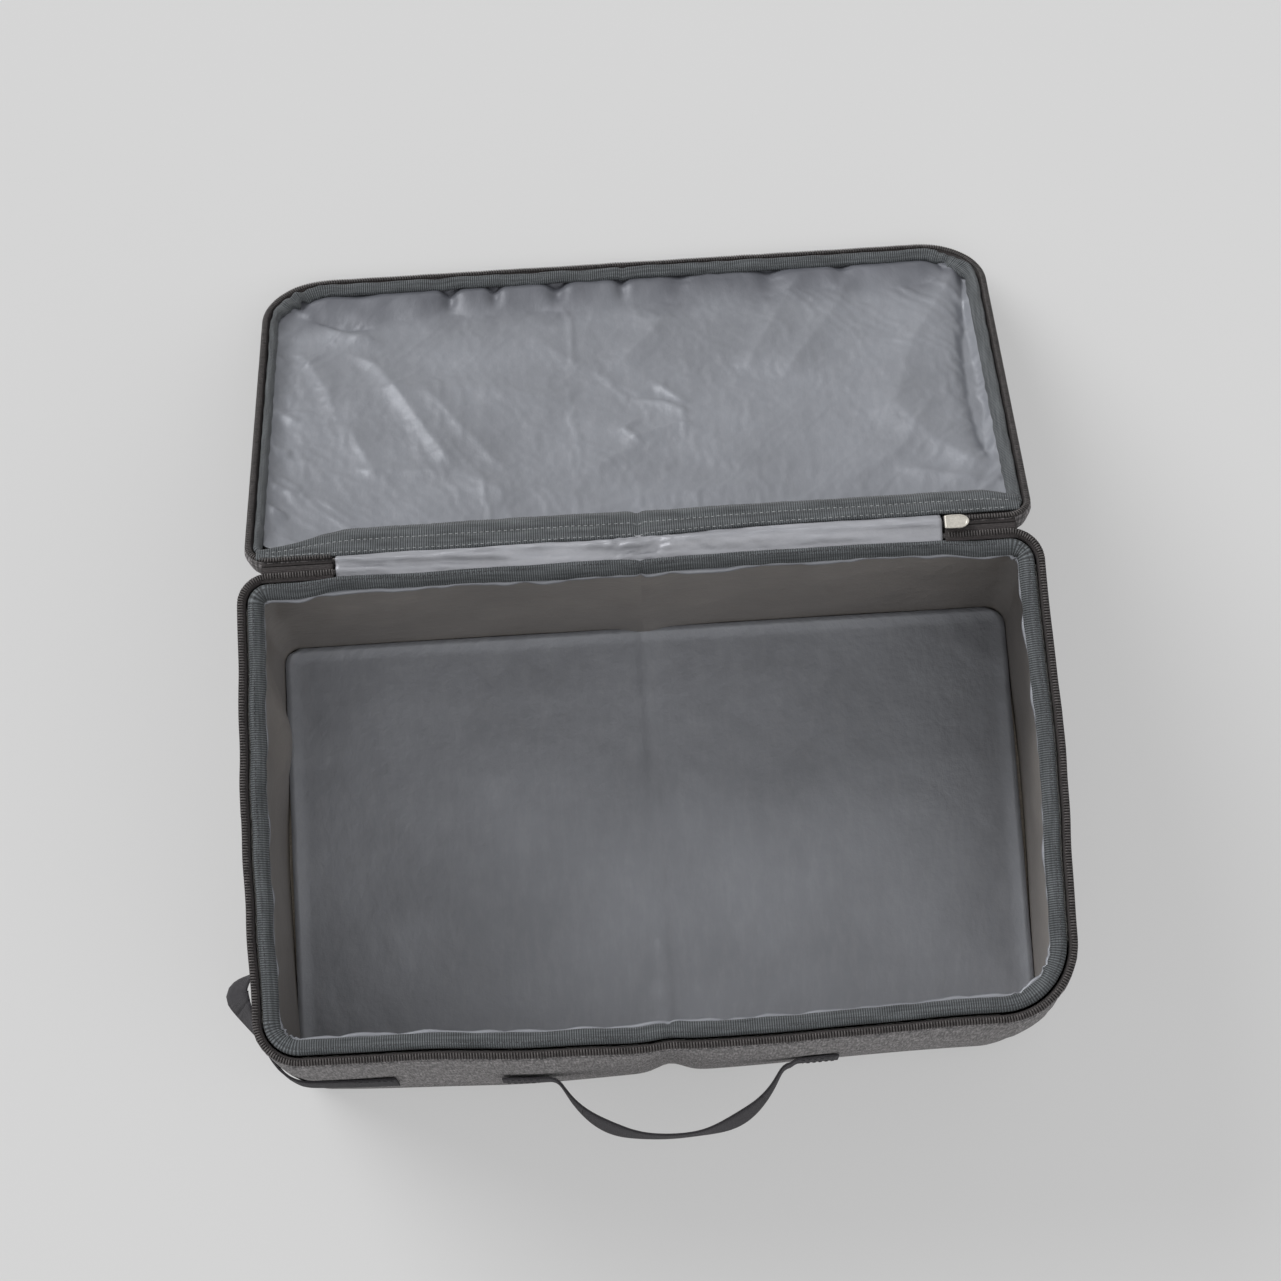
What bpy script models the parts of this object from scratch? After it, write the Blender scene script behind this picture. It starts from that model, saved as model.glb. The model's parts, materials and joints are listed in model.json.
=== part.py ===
"""Foldable litter box: a soft zipped case with a padded lid, shown with its lid thrown open behind it.

Units are metres. X is the width, Y runs from front to back and Z is up.
The origin is the middle of the case's underside.
"""
import math

import bmesh
import bpy
from mathutils import Vector

# Driving sizes of the case
WIDTH = 0.430
DEPTH = 0.262
HEIGHT = 0.168
CORNER_RADIUS = 0.026
BOTTOM_ROUND = 0.005
FRONT_BOW = 0.004
SIDE_BOW = 0.002

# Sheet thicknesses and the clearance between neighbouring pieces
CLOTH = 0.0012
FOAM = 0.0040
LINING = 0.0006
BOARD = 0.0030
CLEARANCE = 0.0003
CREASE_GAP = 0.003

# The sewn rim and its zip
RIM_HEIGHT = 0.010
BINDING_WIDTH = 0.0097
BINDING_THICKNESS = 0.0030
TAPE_THICKNESS = 0.0010
COIL_WIDTH = 0.0030
COIL_HEIGHT = 0.0017
COIL_ROUND = 0.0004

# The lid
LID_SIDE_INSET = 0.004
LID_FRONT_INSET = 0.003
LID_DEPTH = 0.018
LID_ROUND = 0.008
LID_FAR_RADIUS = 0.038
LID_NEAR_RADIUS = 0.014

# The cloth hinge between the case and the lid
HINGE_GAP = 0.010
HINGE_LENGTH = 0.324
HINGE_FOLD_RADIUS = 0.0015

# The zip slider and its pull
SLIDER_LENGTH = 0.012
SLIDER_WIDTH = 0.0076
SLIDER_PLATE = 0.0008
SLIDER_MOUTH = 0.0020
SLIDER_POST = 0.0016
PULL_LENGTH = 0.0130
PULL_WIDTH = 0.0070
PULL_THICKNESS = 0.0010

# The webbing handle on the front
FITTING_HEIGHT = 0.080
WEBBING = 0.0016
HANDLE_WIDTH = 0.022
HANDLE_SPAN = 0.112
HANDLE_REACH = 0.038
HANDLE_ROOT = 0.0125
HANDLE_LEAD = 0.012
HANDLE_PATCH = 0.028
HANDLE_LEAN_DEGREES = 57.0

# The carrying loop round the front left corner
LOOP_WIDTH = 0.030
LOOP_SIDE_START = 0.061
LOOP_FRONT_START = 0.034
LOOP_REACH = 0.023
LOOP_TIP_DROP = 0.020
LOOP_ROOT = 0.008
LOOP_SIDE_LEAD = 0.011
LOOP_FRONT_LEAD = 0.020
LOOP_SIDE_PATCH = 0.018
LOOP_FRONT_PATCH = 0.020
LOOP_LEAN_DEGREES = 29.0
LOOP_CORNER_SHARE = 0.5

# How finely curves are divided
ARC_STEPS = 6
SIDE_STEPS = 8
STRAP_STEPS = 10

# Places worked out from the sizes above
HALF_WIDTH = WIDTH / 2
HALF_DEPTH = DEPTH / 2
RIM_BASE = HEIGHT - RIM_HEIGHT
WALL_TOP = RIM_BASE - CLEARANCE
PAD_INSET = CLOTH + CLEARANCE
LINING_INSET = PAD_INSET + FOAM + CLEARANCE
FLOOR_INSET = LINING_INSET + LINING + CLEARANCE
BOARD_LOW = CLOTH + CLEARANCE
LINING_LOW = BOARD_LOW + BOARD + CLEARANCE
BINDING_INSET = PAD_INSET + COIL_WIDTH + CLEARANCE
HINGE_Y = HALF_DEPTH + HINGE_GAP / 2
HINGE_Z = HEIGHT + CLEARANCE
LID_LENGTH = DEPTH - LID_FRONT_INSET
LID_HALF_WIDTH = HALF_WIDTH - LID_SIDE_INSET


def resting_droop():
    """How far below level the open lid hangs when its far edge lies on the ground."""
    reach = HINGE_GAP / 2 + LID_LENGTH - LID_ROUND
    drop = LID_DEPTH
    return math.asin(HINGE_Z / math.hypot(reach, drop)) - math.atan2(drop, reach)


def leaning_droop():
    """How far below level the open lid hangs when its near edge leans on the back wall."""
    along = HINGE_GAP / 2 + LID_ROUND
    below = LID_DEPTH + CLEARANCE - LID_ROUND
    room = LID_ROUND + CLEARANCE - HINGE_GAP / 2
    return math.acos(room / math.hypot(along, below)) - math.atan2(below, along)


LID_DROOP = min(resting_droop(), leaning_droop())


def clear_scene():
    for item in list(bpy.data.objects):
        bpy.data.objects.remove(item, do_unlink=True)


def finish(name, colour, roughness, metallic=0.0):
    """A material with one colour, roughness and metallic value."""
    material = bpy.data.materials.new(name)
    material.use_nodes = True
    shader = material.node_tree.nodes["Principled BSDF"]
    shader.inputs["Base Color"].default_value = (*colour, 1.0)
    shader.inputs["Roughness"].default_value = roughness
    shader.inputs["Metallic"].default_value = metallic
    return material


def empty(name, place, turn_x=0.0, parent=None):
    """An empty on a joint's axis, which carries the pieces of one moving body."""
    item = bpy.data.objects.new(name, None)
    bpy.context.scene.collection.objects.link(item)
    item.parent = parent
    item.location = place
    item.rotation_euler = (turn_x, 0.0, 0.0)
    return item


def piece(name, mesh_builder, material, parent=None, smooth_angle=40.0):
    """One named object from a filled bmesh, with its faces turned outwards."""
    bmesh.ops.recalc_face_normals(mesh_builder, faces=mesh_builder.faces)
    mesh = bpy.data.meshes.new(name)
    mesh_builder.to_mesh(mesh)
    mesh_builder.free()
    mesh.shade_smooth()
    mesh.set_sharp_from_angle(angle=math.radians(smooth_angle))
    mesh.materials.append(material)
    item = bpy.data.objects.new(name, mesh)
    bpy.context.scene.collection.objects.link(item)
    item.parent = parent
    return item


def line(start, end, bow=0.0):
    """A straight run of an outline, which may bow outwards in its middle."""
    start, end = Vector(start), Vector(end)
    along = (end - start).normalized()
    normal = Vector((along.y, -along.x))
    length = (end - start).length

    def at(share):
        swell = bow * (1.0 - math.cos(2.0 * math.pi * share)) / 2.0
        return start.lerp(end, share) + normal * swell, normal

    return at, length, SIDE_STEPS


def arc(centre, radius, from_degrees):
    """A quarter turn of an outline, anticlockwise from above."""
    centre = Vector(centre)

    def at(share):
        angle = math.radians(from_degrees + 90.0 * share)
        normal = Vector((math.cos(angle), math.sin(angle)))
        return centre + normal * radius, normal

    return at, radius * math.pi / 2.0, ARC_STEPS


def rounded_outline(half_x, front, back, front_radius, back_radius, front_bow, side_bow):
    """A closed outline that starts in the middle of its back and runs anticlockwise."""
    runs = [
        line((0.0, back), (-half_x + back_radius, back)),
        arc((-half_x + back_radius, back - back_radius), back_radius, 90.0),
        line((-half_x, back - back_radius), (-half_x, front + front_radius), side_bow),
        arc((-half_x + front_radius, front + front_radius), front_radius, 180.0),
        line((-half_x + front_radius, front), (half_x - front_radius, front), front_bow),
        arc((half_x - front_radius, front + front_radius), front_radius, 270.0),
        line((half_x, front + front_radius), (half_x, back - back_radius), side_bow),
        arc((half_x - back_radius, back - back_radius), back_radius, 0.0),
        line((half_x - back_radius, back), (0.0, back)),
    ]
    stations, travelled = [], 0.0
    for at, length, steps in runs:
        stations += [(travelled + length * i / steps, at, i / steps) for i in range(steps)]
        travelled += length
    return {"runs": runs, "stations": stations, "length": travelled}


def place_on(outline, distance):
    """The point and outward normal at a distance along an outline."""
    distance %= outline["length"]
    for at, length, _steps in outline["runs"]:
        if distance <= length:
            return at(distance / length)
        distance -= length
    return outline["runs"][-1][0](1.0)


def run_start(outline, index):
    """How far along an outline one of its runs starts."""
    return sum(length for _at, length, _steps in outline["runs"][:index])


def samples(outline, start=None, end=None):
    """Points and normals along an outline, or along a stretch of it."""
    if start is None:
        return [at(share) for _distance, at, share in outline["stations"]]
    total = outline["length"]
    inner = []
    for turn in (-1, 0, 1):
        inner += [(distance + turn * total, at, share) for distance, at, share in outline["stations"]]
    apart = CLEARANCE
    middle = [at(share) for distance, at, share in inner if start + apart < distance < end - apart]
    return [place_on(outline, start)] + middle + [place_on(outline, end)]


def sweep(outline, profile, start=None, end=None):
    """A solid whose profile, as (inset, height) points, runs along an outline."""
    mesh = bmesh.new()
    rows = []
    for point, normal in samples(outline, start, end):
        rows.append([mesh.verts.new((*(point - normal * inset), height)) for inset, height in profile])
    closed = start is None
    count = len(rows)
    for i in range(count if closed else count - 1):
        near, far = rows[i], rows[(i + 1) % count]
        for j in range(len(profile)):
            k = (j + 1) % len(profile)
            mesh.faces.new((near[j], far[j], far[k], near[k]))
    if not closed:
        mesh.faces.new(rows[0])
        mesh.faces.new(rows[-1])
    return mesh


def inset_loop(outline, inset):
    return [point - normal * inset for point, normal in samples(outline)]


def keep_side(loop, limit, sign):
    """The part of a loop on one side of a line of constant X."""
    kept = []
    for i, here in enumerate(loop):
        there = loop[(i + 1) % len(loop)]
        here_in, there_in = sign * (here.x - limit) >= 0, sign * (there.x - limit) >= 0
        if here_in:
            kept.append(here)
        if here_in != there_in:
            kept.append(here.lerp(there, (limit - here.x) / (there.x - here.x)))
    return kept


def plate(loop, low, high):
    """A flat solid between two heights with the outline of a loop."""
    mesh = bmesh.new()
    bottom = [mesh.verts.new((point.x, point.y, low)) for point in loop]
    top = [mesh.verts.new((point.x, point.y, high)) for point in loop]
    mesh.faces.new(bottom)
    mesh.faces.new(top)
    for i in range(len(loop)):
        k = (i + 1) % len(loop)
        mesh.faces.new((bottom[i], bottom[k], top[k], top[i]))
    return mesh


def tray(outline, inset, low, high, thickness):
    """A thin open tray: a floor with a wall all round it."""
    mesh = bmesh.new()
    levels = ((inset, low), (inset, high), (inset + thickness, high), (inset + thickness, low + thickness))
    rows = []
    for level_inset, height in levels:
        rows.append([mesh.verts.new((*point, height)) for point in inset_loop(outline, level_inset)])
    for lower, upper in zip(rows, rows[1:]):
        for i in range(len(lower)):
            k = (i + 1) % len(lower)
            mesh.faces.new((lower[i], lower[k], upper[k], upper[i]))
    mesh.faces.new(rows[0])
    mesh.faces.new(rows[-1])
    return mesh


def bar(profile, start, end):
    """A solid with a (Y, Z) profile that runs straight along X."""
    mesh = bmesh.new()
    near = [mesh.verts.new((start, y, z)) for y, z in profile]
    far = [mesh.verts.new((end, y, z)) for y, z in profile]
    mesh.faces.new(near)
    mesh.faces.new(far)
    for i in range(len(profile)):
        k = (i + 1) % len(profile)
        mesh.faces.new((near[i], near[k], far[k], far[i]))
    return mesh


def bezier(start, pull_start, pull_end, end, steps):
    """Points and directions along a cubic curve in the plane."""
    out = []
    for i in range(steps + 1):
        t = i / steps
        u = 1.0 - t
        point = start * u ** 3 + pull_start * 3 * u * u * t + pull_end * 3 * u * t * t + end * t ** 3
        slope = (pull_start - start) * u * u + (pull_end - pull_start) * 2 * u * t + (end - pull_end) * t * t
        out.append((point, slope.normalized()))
    return out


def strap(course, width, thickness, square_to=None, square_ends=(False, False)):
    """Webbing on edge along a course of points and directions, with its width upright.

    An end that meets a moving piece is cut square to that piece's axis.
    """
    mesh = bmesh.new()
    rows = []
    for i, (point, along) in enumerate(course):
        across = Vector((-along.y, along.x)) * thickness / 2.0
        sides = [across, -across]
        if (i == 0 and square_ends[0]) or (i == len(course) - 1 and square_ends[1]):
            sides = [side - along * (side.dot(square_to) / along.dot(square_to)) for side in sides]
        corners = [point + sides[0], point + sides[1]]
        rows.append(
            [
                mesh.verts.new((corners[0].x, corners[0].y, -width / 2.0)),
                mesh.verts.new((corners[1].x, corners[1].y, -width / 2.0)),
                mesh.verts.new((corners[1].x, corners[1].y, width / 2.0)),
                mesh.verts.new((corners[0].x, corners[0].y, width / 2.0)),
            ]
        )
    for near, far in zip(rows, rows[1:]):
        for j in range(4):
            k = (j + 1) % 4
            mesh.faces.new((near[j], far[j], far[k], near[k]))
    mesh.faces.new(rows[0])
    mesh.faces.new(rows[-1])
    return mesh


def cloth_profile(outer_inset, low, top, bottom_round):
    """Outer cloth that turns in under the case at its bottom edge."""
    inner_round = bottom_round - CLOTH
    centre = (outer_inset + bottom_round, low + bottom_round)
    outer, inner = [], []
    for i in range(4):
        angle = math.radians(270.0 - 30.0 * i)
        outer.append((centre[0] + bottom_round * math.cos(angle), centre[1] + bottom_round * math.sin(angle)))
        inner.append((centre[0] + inner_round * math.cos(angle), centre[1] + inner_round * math.sin(angle)))
    outer.append((outer_inset, top))
    inner.append((outer_inset + CLOTH, top))
    return outer + inner[::-1]


def box_profile(inset, thickness, low, high):
    return [(inset, low), (inset + thickness, low), (inset + thickness, high), (inset, high)]


def soft_profile(inset, width, low, high, edge):
    """A rectangle with its corners cut by a small edge."""
    out = inset + width
    return [
        (inset + edge, low), (out - edge, low), (out, low + edge), (out, high - edge),
        (out - edge, high), (inset + edge, high), (inset, high - edge), (inset, low + edge),
    ]


def binding_profile(inset, root_low, high, root_width):
    """Ribbed binding: a root on the wall and a flap that lies inwards over the lining."""
    edge = BINDING_THICKNESS / 4.0
    out = inset + BINDING_WIDTH
    low = high - BINDING_THICKNESS
    return [
        (inset, root_low), (inset + root_width, root_low), (inset + root_width, low), (out - edge, low),
        (out, low + edge), (out, high - edge), (out - edge, high), (inset + edge, high), (inset, high - edge),
    ]


def make_base(case, looks):
    """The underside, its two stiff boards and the floor lining."""
    floor_loop = inset_loop(case, BOTTOM_ROUND + CLEARANCE)
    piece("bottom_cloth", plate(floor_loop, 0.0, CLOTH), looks["outer"])
    board_loop = inset_loop(case, LINING_INSET)
    half = CREASE_GAP / 2.0
    for name, side in (("base_board_left", -1), ("base_board_right", 1)):
        loop = keep_side(board_loop, side * half, side)
        piece(name, plate(loop, BOARD_LOW, BOARD_LOW + BOARD), looks["board"])
    lining_loop = inset_loop(case, FLOOR_INSET)
    piece("floor_lining", plate(lining_loop, LINING_LOW, LINING_LOW + LINING), looks["lining"])


def side_spans(case):
    """For each wall, the distances along the outline of its corner middles and its straight run."""
    half_turn = CORNER_RADIUS * math.pi / 4.0
    spans = {}
    for name, run in (("left", 2), ("front", 4), ("right", 6)):
        first, last = run_start(case, run), run_start(case, run + 1)
        spans[name] = (first - half_turn, first, last, last + half_turn)
    first, last = run_start(case, 8) - case["length"], run_start(case, 1)
    spans["back"] = (first - half_turn, first, last, last + half_turn)
    return spans


def make_walls(case, looks):
    """Each soft wall: outer cloth, foam pads and lining, with the pads split at the centre creases."""
    gap = CLEARANCE / 2.0
    cloth = cloth_profile(0.0, 0.0, WALL_TOP, BOTTOM_ROUND)
    pad = box_profile(PAD_INSET, FOAM, BOTTOM_ROUND + CLEARANCE, WALL_TOP)
    skin = box_profile(LINING_INSET, LINING, LINING_LOW, WALL_TOP)
    for name, (corner_in, first, last, corner_out) in side_spans(case).items():
        piece(f"{name}_cloth", sweep(case, cloth, corner_in + gap, corner_out - gap), looks["outer"])
        piece(f"{name}_lining", sweep(case, skin, corner_in + gap, corner_out - gap), looks["lining"])
        if name in ("left", "right"):
            piece(f"{name}_pad", sweep(case, pad, first, last), looks["foam"])
            continue
        middle = (first + last) / 2.0
        half = CREASE_GAP / 2.0
        halves = ((f"{name}_pad_left", first, middle - half), (f"{name}_pad_right", middle + half, last))
        if name == "back":
            halves = ((f"{name}_pad_right", first, middle - half), (f"{name}_pad_left", middle + half, last))
        for half_name, start, end in halves:
            piece(half_name, sweep(case, pad, start, end), looks["foam"])


def make_rim(case, looks, carrier):
    """The sewn rim that drops when the case is folded flat, with its binding and zip half."""
    lift = -carrier.location.z

    def raised(profile):
        return [(inset, height + lift) for inset, height in profile]

    ends = (HINGE_LENGTH / 2.0 + CLEARANCE, case["length"] - HINGE_LENGTH / 2.0 - CLEARANCE)
    edge = box_profile(0.0, CLOTH, RIM_BASE, HEIGHT - CLEARANCE)
    piece("rim_cloth", sweep(case, raised(edge)), looks["outer"], carrier)
    tape = box_profile(PAD_INSET, TAPE_THICKNESS, RIM_BASE, HEIGHT - COIL_HEIGHT - CLEARANCE)
    piece("case_zip_tape", sweep(case, raised(tape), *ends), looks["tape"], carrier)
    coil = soft_profile(PAD_INSET, COIL_WIDTH, HEIGHT - COIL_HEIGHT, HEIGHT, COIL_ROUND)
    piece("case_zip_coil", sweep(case, raised(coil), *ends), looks["coil"], carrier)
    root = LINING_INSET + LINING - BINDING_INSET
    binding = binding_profile(BINDING_INSET, RIM_BASE, HEIGHT, root)
    piece("rim_binding", sweep(case, raised(binding)), looks["binding"], carrier)
    top = HEIGHT + lift
    strip = [
        (HALF_DEPTH + CLEARANCE, top - CLOTH),
        (HINGE_Y - HINGE_FOLD_RADIUS - CLEARANCE, top - CLOTH),
        (HINGE_Y - HINGE_FOLD_RADIUS - CLEARANCE, top),
        (HALF_DEPTH + CLEARANCE, top),
    ]
    half = HINGE_LENGTH / 2.0
    piece("hinge_strip_case", bar(strip, -half, half), looks["lining"], carrier)
    end_tape = [
        (HALF_DEPTH + CLEARANCE, top - TAPE_THICKNESS / 2.0),
        (HINGE_Y - SLIDER_POST / 2.0 - CLEARANCE, top - TAPE_THICKNESS / 2.0),
        (HINGE_Y - SLIDER_POST / 2.0 - CLEARANCE, top),
        (HALF_DEPTH + CLEARANCE, top),
    ]
    corner = HALF_WIDTH - CORNER_RADIUS / 2.0
    start = half + HINGE_FOLD_RADIUS
    piece("zip_end_tape_right", bar(end_tape, start, corner), looks["tape"], carrier)
    piece("zip_end_tape_left", bar(end_tape, -corner, -start), looks["tape"], carrier)


def make_lid(lid, looks, carrier):
    """The padded lid, a shallow tray made flat here and turned down behind the case by its carrier."""
    floor = -CLEARANCE - LID_DEPTH
    top = -CLEARANCE
    gusset = cloth_profile(0.0, floor, top - CLEARANCE, LID_ROUND)
    piece("lid_gusset_cloth", sweep(lid, gusset), looks["outer"], carrier)
    panel = inset_loop(lid, LID_ROUND + CLEARANCE)
    piece("lid_panel_cloth", plate(panel, floor, floor + CLOTH), looks["outer"], carrier)
    foam_low = floor + CLOTH + CLEARANCE
    half = CREASE_GAP / 2.0
    for name, side in (("lid_pad_left", -1), ("lid_pad_right", 1)):
        loop = keep_side(panel, side * half, side)
        piece(name, plate(loop, foam_low, foam_low + FOAM), looks["foam"], carrier)
    flap_low = top - BINDING_THICKNESS
    lining_low = foam_low + FOAM + CLEARANCE
    lining = tray(lid, BINDING_INSET, lining_low, flap_low - CLEARANCE, LINING)
    piece("lid_lining", lining, looks["lining"], carrier)
    coil_low = top - COIL_HEIGHT
    ends = (HINGE_LENGTH / 2.0 + CLEARANCE, lid["length"] - HINGE_LENGTH / 2.0 - CLEARANCE)
    start, end = ends[0] + lid["length"] / 2.0, ends[1] + lid["length"] / 2.0
    tape = box_profile(PAD_INSET, TAPE_THICKNESS, floor + LID_ROUND + CLEARANCE, coil_low - CLEARANCE)
    piece("lid_zip_tape", sweep(lid, tape, start, end), looks["tape"], carrier)
    coil = soft_profile(PAD_INSET, COIL_WIDTH, coil_low, top, COIL_ROUND)
    piece("lid_zip_coil", sweep(lid, coil, start, end), looks["coil"], carrier)
    flap = soft_profile(BINDING_INSET, BINDING_WIDTH, flap_low, top, BINDING_THICKNESS / 4.0)
    piece("lid_binding", sweep(lid, flap), looks["binding"], carrier)
    fold = []
    for i in range(9):
        angle = math.radians(30.0 + 30.0 * i)
        fold.append((HINGE_FOLD_RADIUS * math.cos(angle), HINGE_FOLD_RADIUS * math.sin(angle)))
    near = HINGE_GAP / 2.0 - CLEARANCE
    strip_low = -CLEARANCE - CLOTH
    reach = math.sqrt(HINGE_FOLD_RADIUS ** 2 - CLEARANCE ** 2)
    strip = fold + [(0.0, -HINGE_FOLD_RADIUS), (near, strip_low), (near, -CLEARANCE), (reach, -CLEARANCE)]
    strip_half = HINGE_LENGTH / 2.0
    piece("hinge_strip_lid", bar(strip, -strip_half, strip_half), looks["lining"], carrier)


def make_slider(looks, carrier):
    """The zip slider: two plates on a post, with the tape between them."""
    half_width, half_post, half_mouth = SLIDER_WIDTH / 2.0, SLIDER_POST / 2.0, SLIDER_MOUTH / 2.0
    outer = half_mouth + SLIDER_PLATE
    right = [(half_post, -half_mouth), (half_width, -half_mouth), (half_width, -outer)]
    left = [(-half_width, -outer), (-half_width, -half_mouth), (-half_post, -half_mouth)]
    upper = [(-half_post, half_mouth), (-half_width, half_mouth), (-half_width, outer)]
    cover = [(half_width, outer), (half_width, half_mouth), (half_post, half_mouth)]
    profile = right + left + upper + cover
    piece("zip_slider", bar(profile, 0.0, SLIDER_LENGTH), looks["metal"], carrier)


def make_pull(looks, carrier):
    """The flat pull, square where it hangs on the slider and round at its tip."""
    half = PULL_WIDTH / 2.0
    tip = PULL_LENGTH - half
    loop = [Vector((0.0, -half)), Vector((tip, -half))]
    for i in range(1, 8):
        angle = math.radians(-90.0 + 22.5 * i)
        loop.append(Vector((tip + half * math.cos(angle), half * math.sin(angle))))
    loop += [Vector((tip, half)), Vector((0.0, half))]
    piece("zip_pull", plate(loop, -PULL_THICKNESS / 2.0, PULL_THICKNESS / 2.0), looks["metal"], carrier)


def front_bow_at(x):
    """How far the front wall bows out at a place along it."""
    run = WIDTH - 2.0 * CORNER_RADIUS
    return FRONT_BOW * (1.0 - math.cos(2.0 * math.pi * (x / run + 0.5))) / 2.0


def make_handle(looks, fittings, swing):
    """The front handle: a patch and a lead out of the wall at each end, and the loop between them."""
    axis_y = swing.location.y + fittings.location.y
    ahead = Vector((1.0, 0.0))
    angle = math.radians(HANDLE_LEAN_DEGREES)
    lean = Vector((math.cos(angle), -math.sin(angle)))
    half_span = HANDLE_SPAN / 2.0
    for name, side in (("left", -1), ("right", 1)):
        lead_x = half_span + HANDLE_LEAD
        patch_x = lead_x + HANDLE_PATCH
        seat = -HALF_DEPTH - front_bow_at(lead_x) - CLEARANCE - WEBBING / 2.0
        start = Vector((-patch_x, seat))
        bend = Vector((-lead_x, seat))
        root = Vector((-half_span - CLEARANCE / 2.0, axis_y))
        pull = (root - bend).length / 2.0
        course = [(start, ahead)] + bezier(bend, bend + ahead * pull, root - lean * pull, root, STRAP_STEPS // 2)
        if side > 0:
            course = [(Vector((-p.x, p.y)), Vector((a.x, -a.y))) for p, a in course[::-1]]
        squared = (side > 0, side < 0)
        solid = strap(course, HANDLE_WIDTH, WEBBING, ahead, squared)
        piece(f"handle_patch_{name}", solid, looks["webbing"], fittings)
    root = Vector((-half_span + CLEARANCE / 2.0, 0.0))
    tip = Vector((0.0, -(HANDLE_REACH - HANDLE_ROOT)))
    near = bezier(root, root + lean * HANDLE_REACH / 2.0, tip - ahead * half_span / 2.0, tip, STRAP_STEPS)
    far = [(Vector((-p.x, p.y)), Vector((a.x, -a.y))) for p, a in near[-2::-1]]
    solid = strap(near + far, HANDLE_WIDTH, WEBBING, ahead, (True, True))
    piece("handle_loop", solid, looks["webbing"], swing)


def corner_loop_frame():
    """Where the corner loop's two roots are, and the direction between them."""
    side_root = Vector((-HALF_WIDTH - LOOP_ROOT, -HALF_DEPTH + LOOP_SIDE_START))
    front_root = Vector((-HALF_WIDTH + LOOP_FRONT_START, -HALF_DEPTH - LOOP_ROOT))
    return side_root, front_root, (front_root - side_root).normalized()


def make_corner_loop(looks, fittings, swing):
    """The carrying loop: a patch on each wall beside the corner, and the loop round it."""
    side_root, front_root, chord = corner_loop_frame()
    down, ahead = Vector((0.0, -1.0)), Vector((1.0, 0.0))
    angle = math.radians(LOOP_LEAN_DEGREES)
    side_lean = down * math.cos(angle) - ahead * math.sin(angle)
    seat = CLEARANCE + WEBBING / 2.0
    bend = Vector((-HALF_WIDTH - SIDE_BOW - seat, side_root.y + LOOP_SIDE_LEAD))
    start = bend - down * LOOP_SIDE_PATCH
    root = side_root - chord * CLEARANCE / 2.0
    pull = (root - bend).length / 2.0
    course = [(start, down)] + bezier(bend, bend + down * pull, root - side_lean * pull, root, STRAP_STEPS // 2)
    piece("corner_patch_side", strap(course, LOOP_WIDTH, WEBBING, chord, (False, True)), looks["strap"], fittings)
    patch_end = front_root.x + LOOP_FRONT_LEAD + LOOP_FRONT_PATCH
    end = Vector((patch_end, -HALF_DEPTH - front_bow_at(patch_end) - seat))
    bend = end - ahead * LOOP_FRONT_PATCH
    root = front_root + chord * CLEARANCE / 2.0
    pull = (root - bend).length / 2.0
    course = bezier(root, root + ahead * pull, bend - ahead * pull, bend, STRAP_STEPS // 2) + [(end, ahead)]
    piece("corner_patch_front", strap(course, LOOP_WIDTH, WEBBING, chord, (True, False)), looks["strap"], fittings)
    first = chord * CLEARANCE / 2.0
    last = front_root - chord * CLEARANCE / 2.0 - side_root
    tip = Vector((LOOP_ROOT - LOOP_REACH, -LOOP_TIP_DROP))
    pull = (tip - first).length / 3.0
    near = bezier(first, first + side_lean * pull, tip - down * pull, tip, STRAP_STEPS)
    reach = last - tip
    far = bezier(tip, tip + down * reach.length / 3.0, last - ahead * reach.x * LOOP_CORNER_SHARE, last, STRAP_STEPS)
    solid = strap(near + far[1:], LOOP_WIDTH, WEBBING, chord, (True, True))
    piece("corner_loop", solid, looks["strap"], swing)


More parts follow.
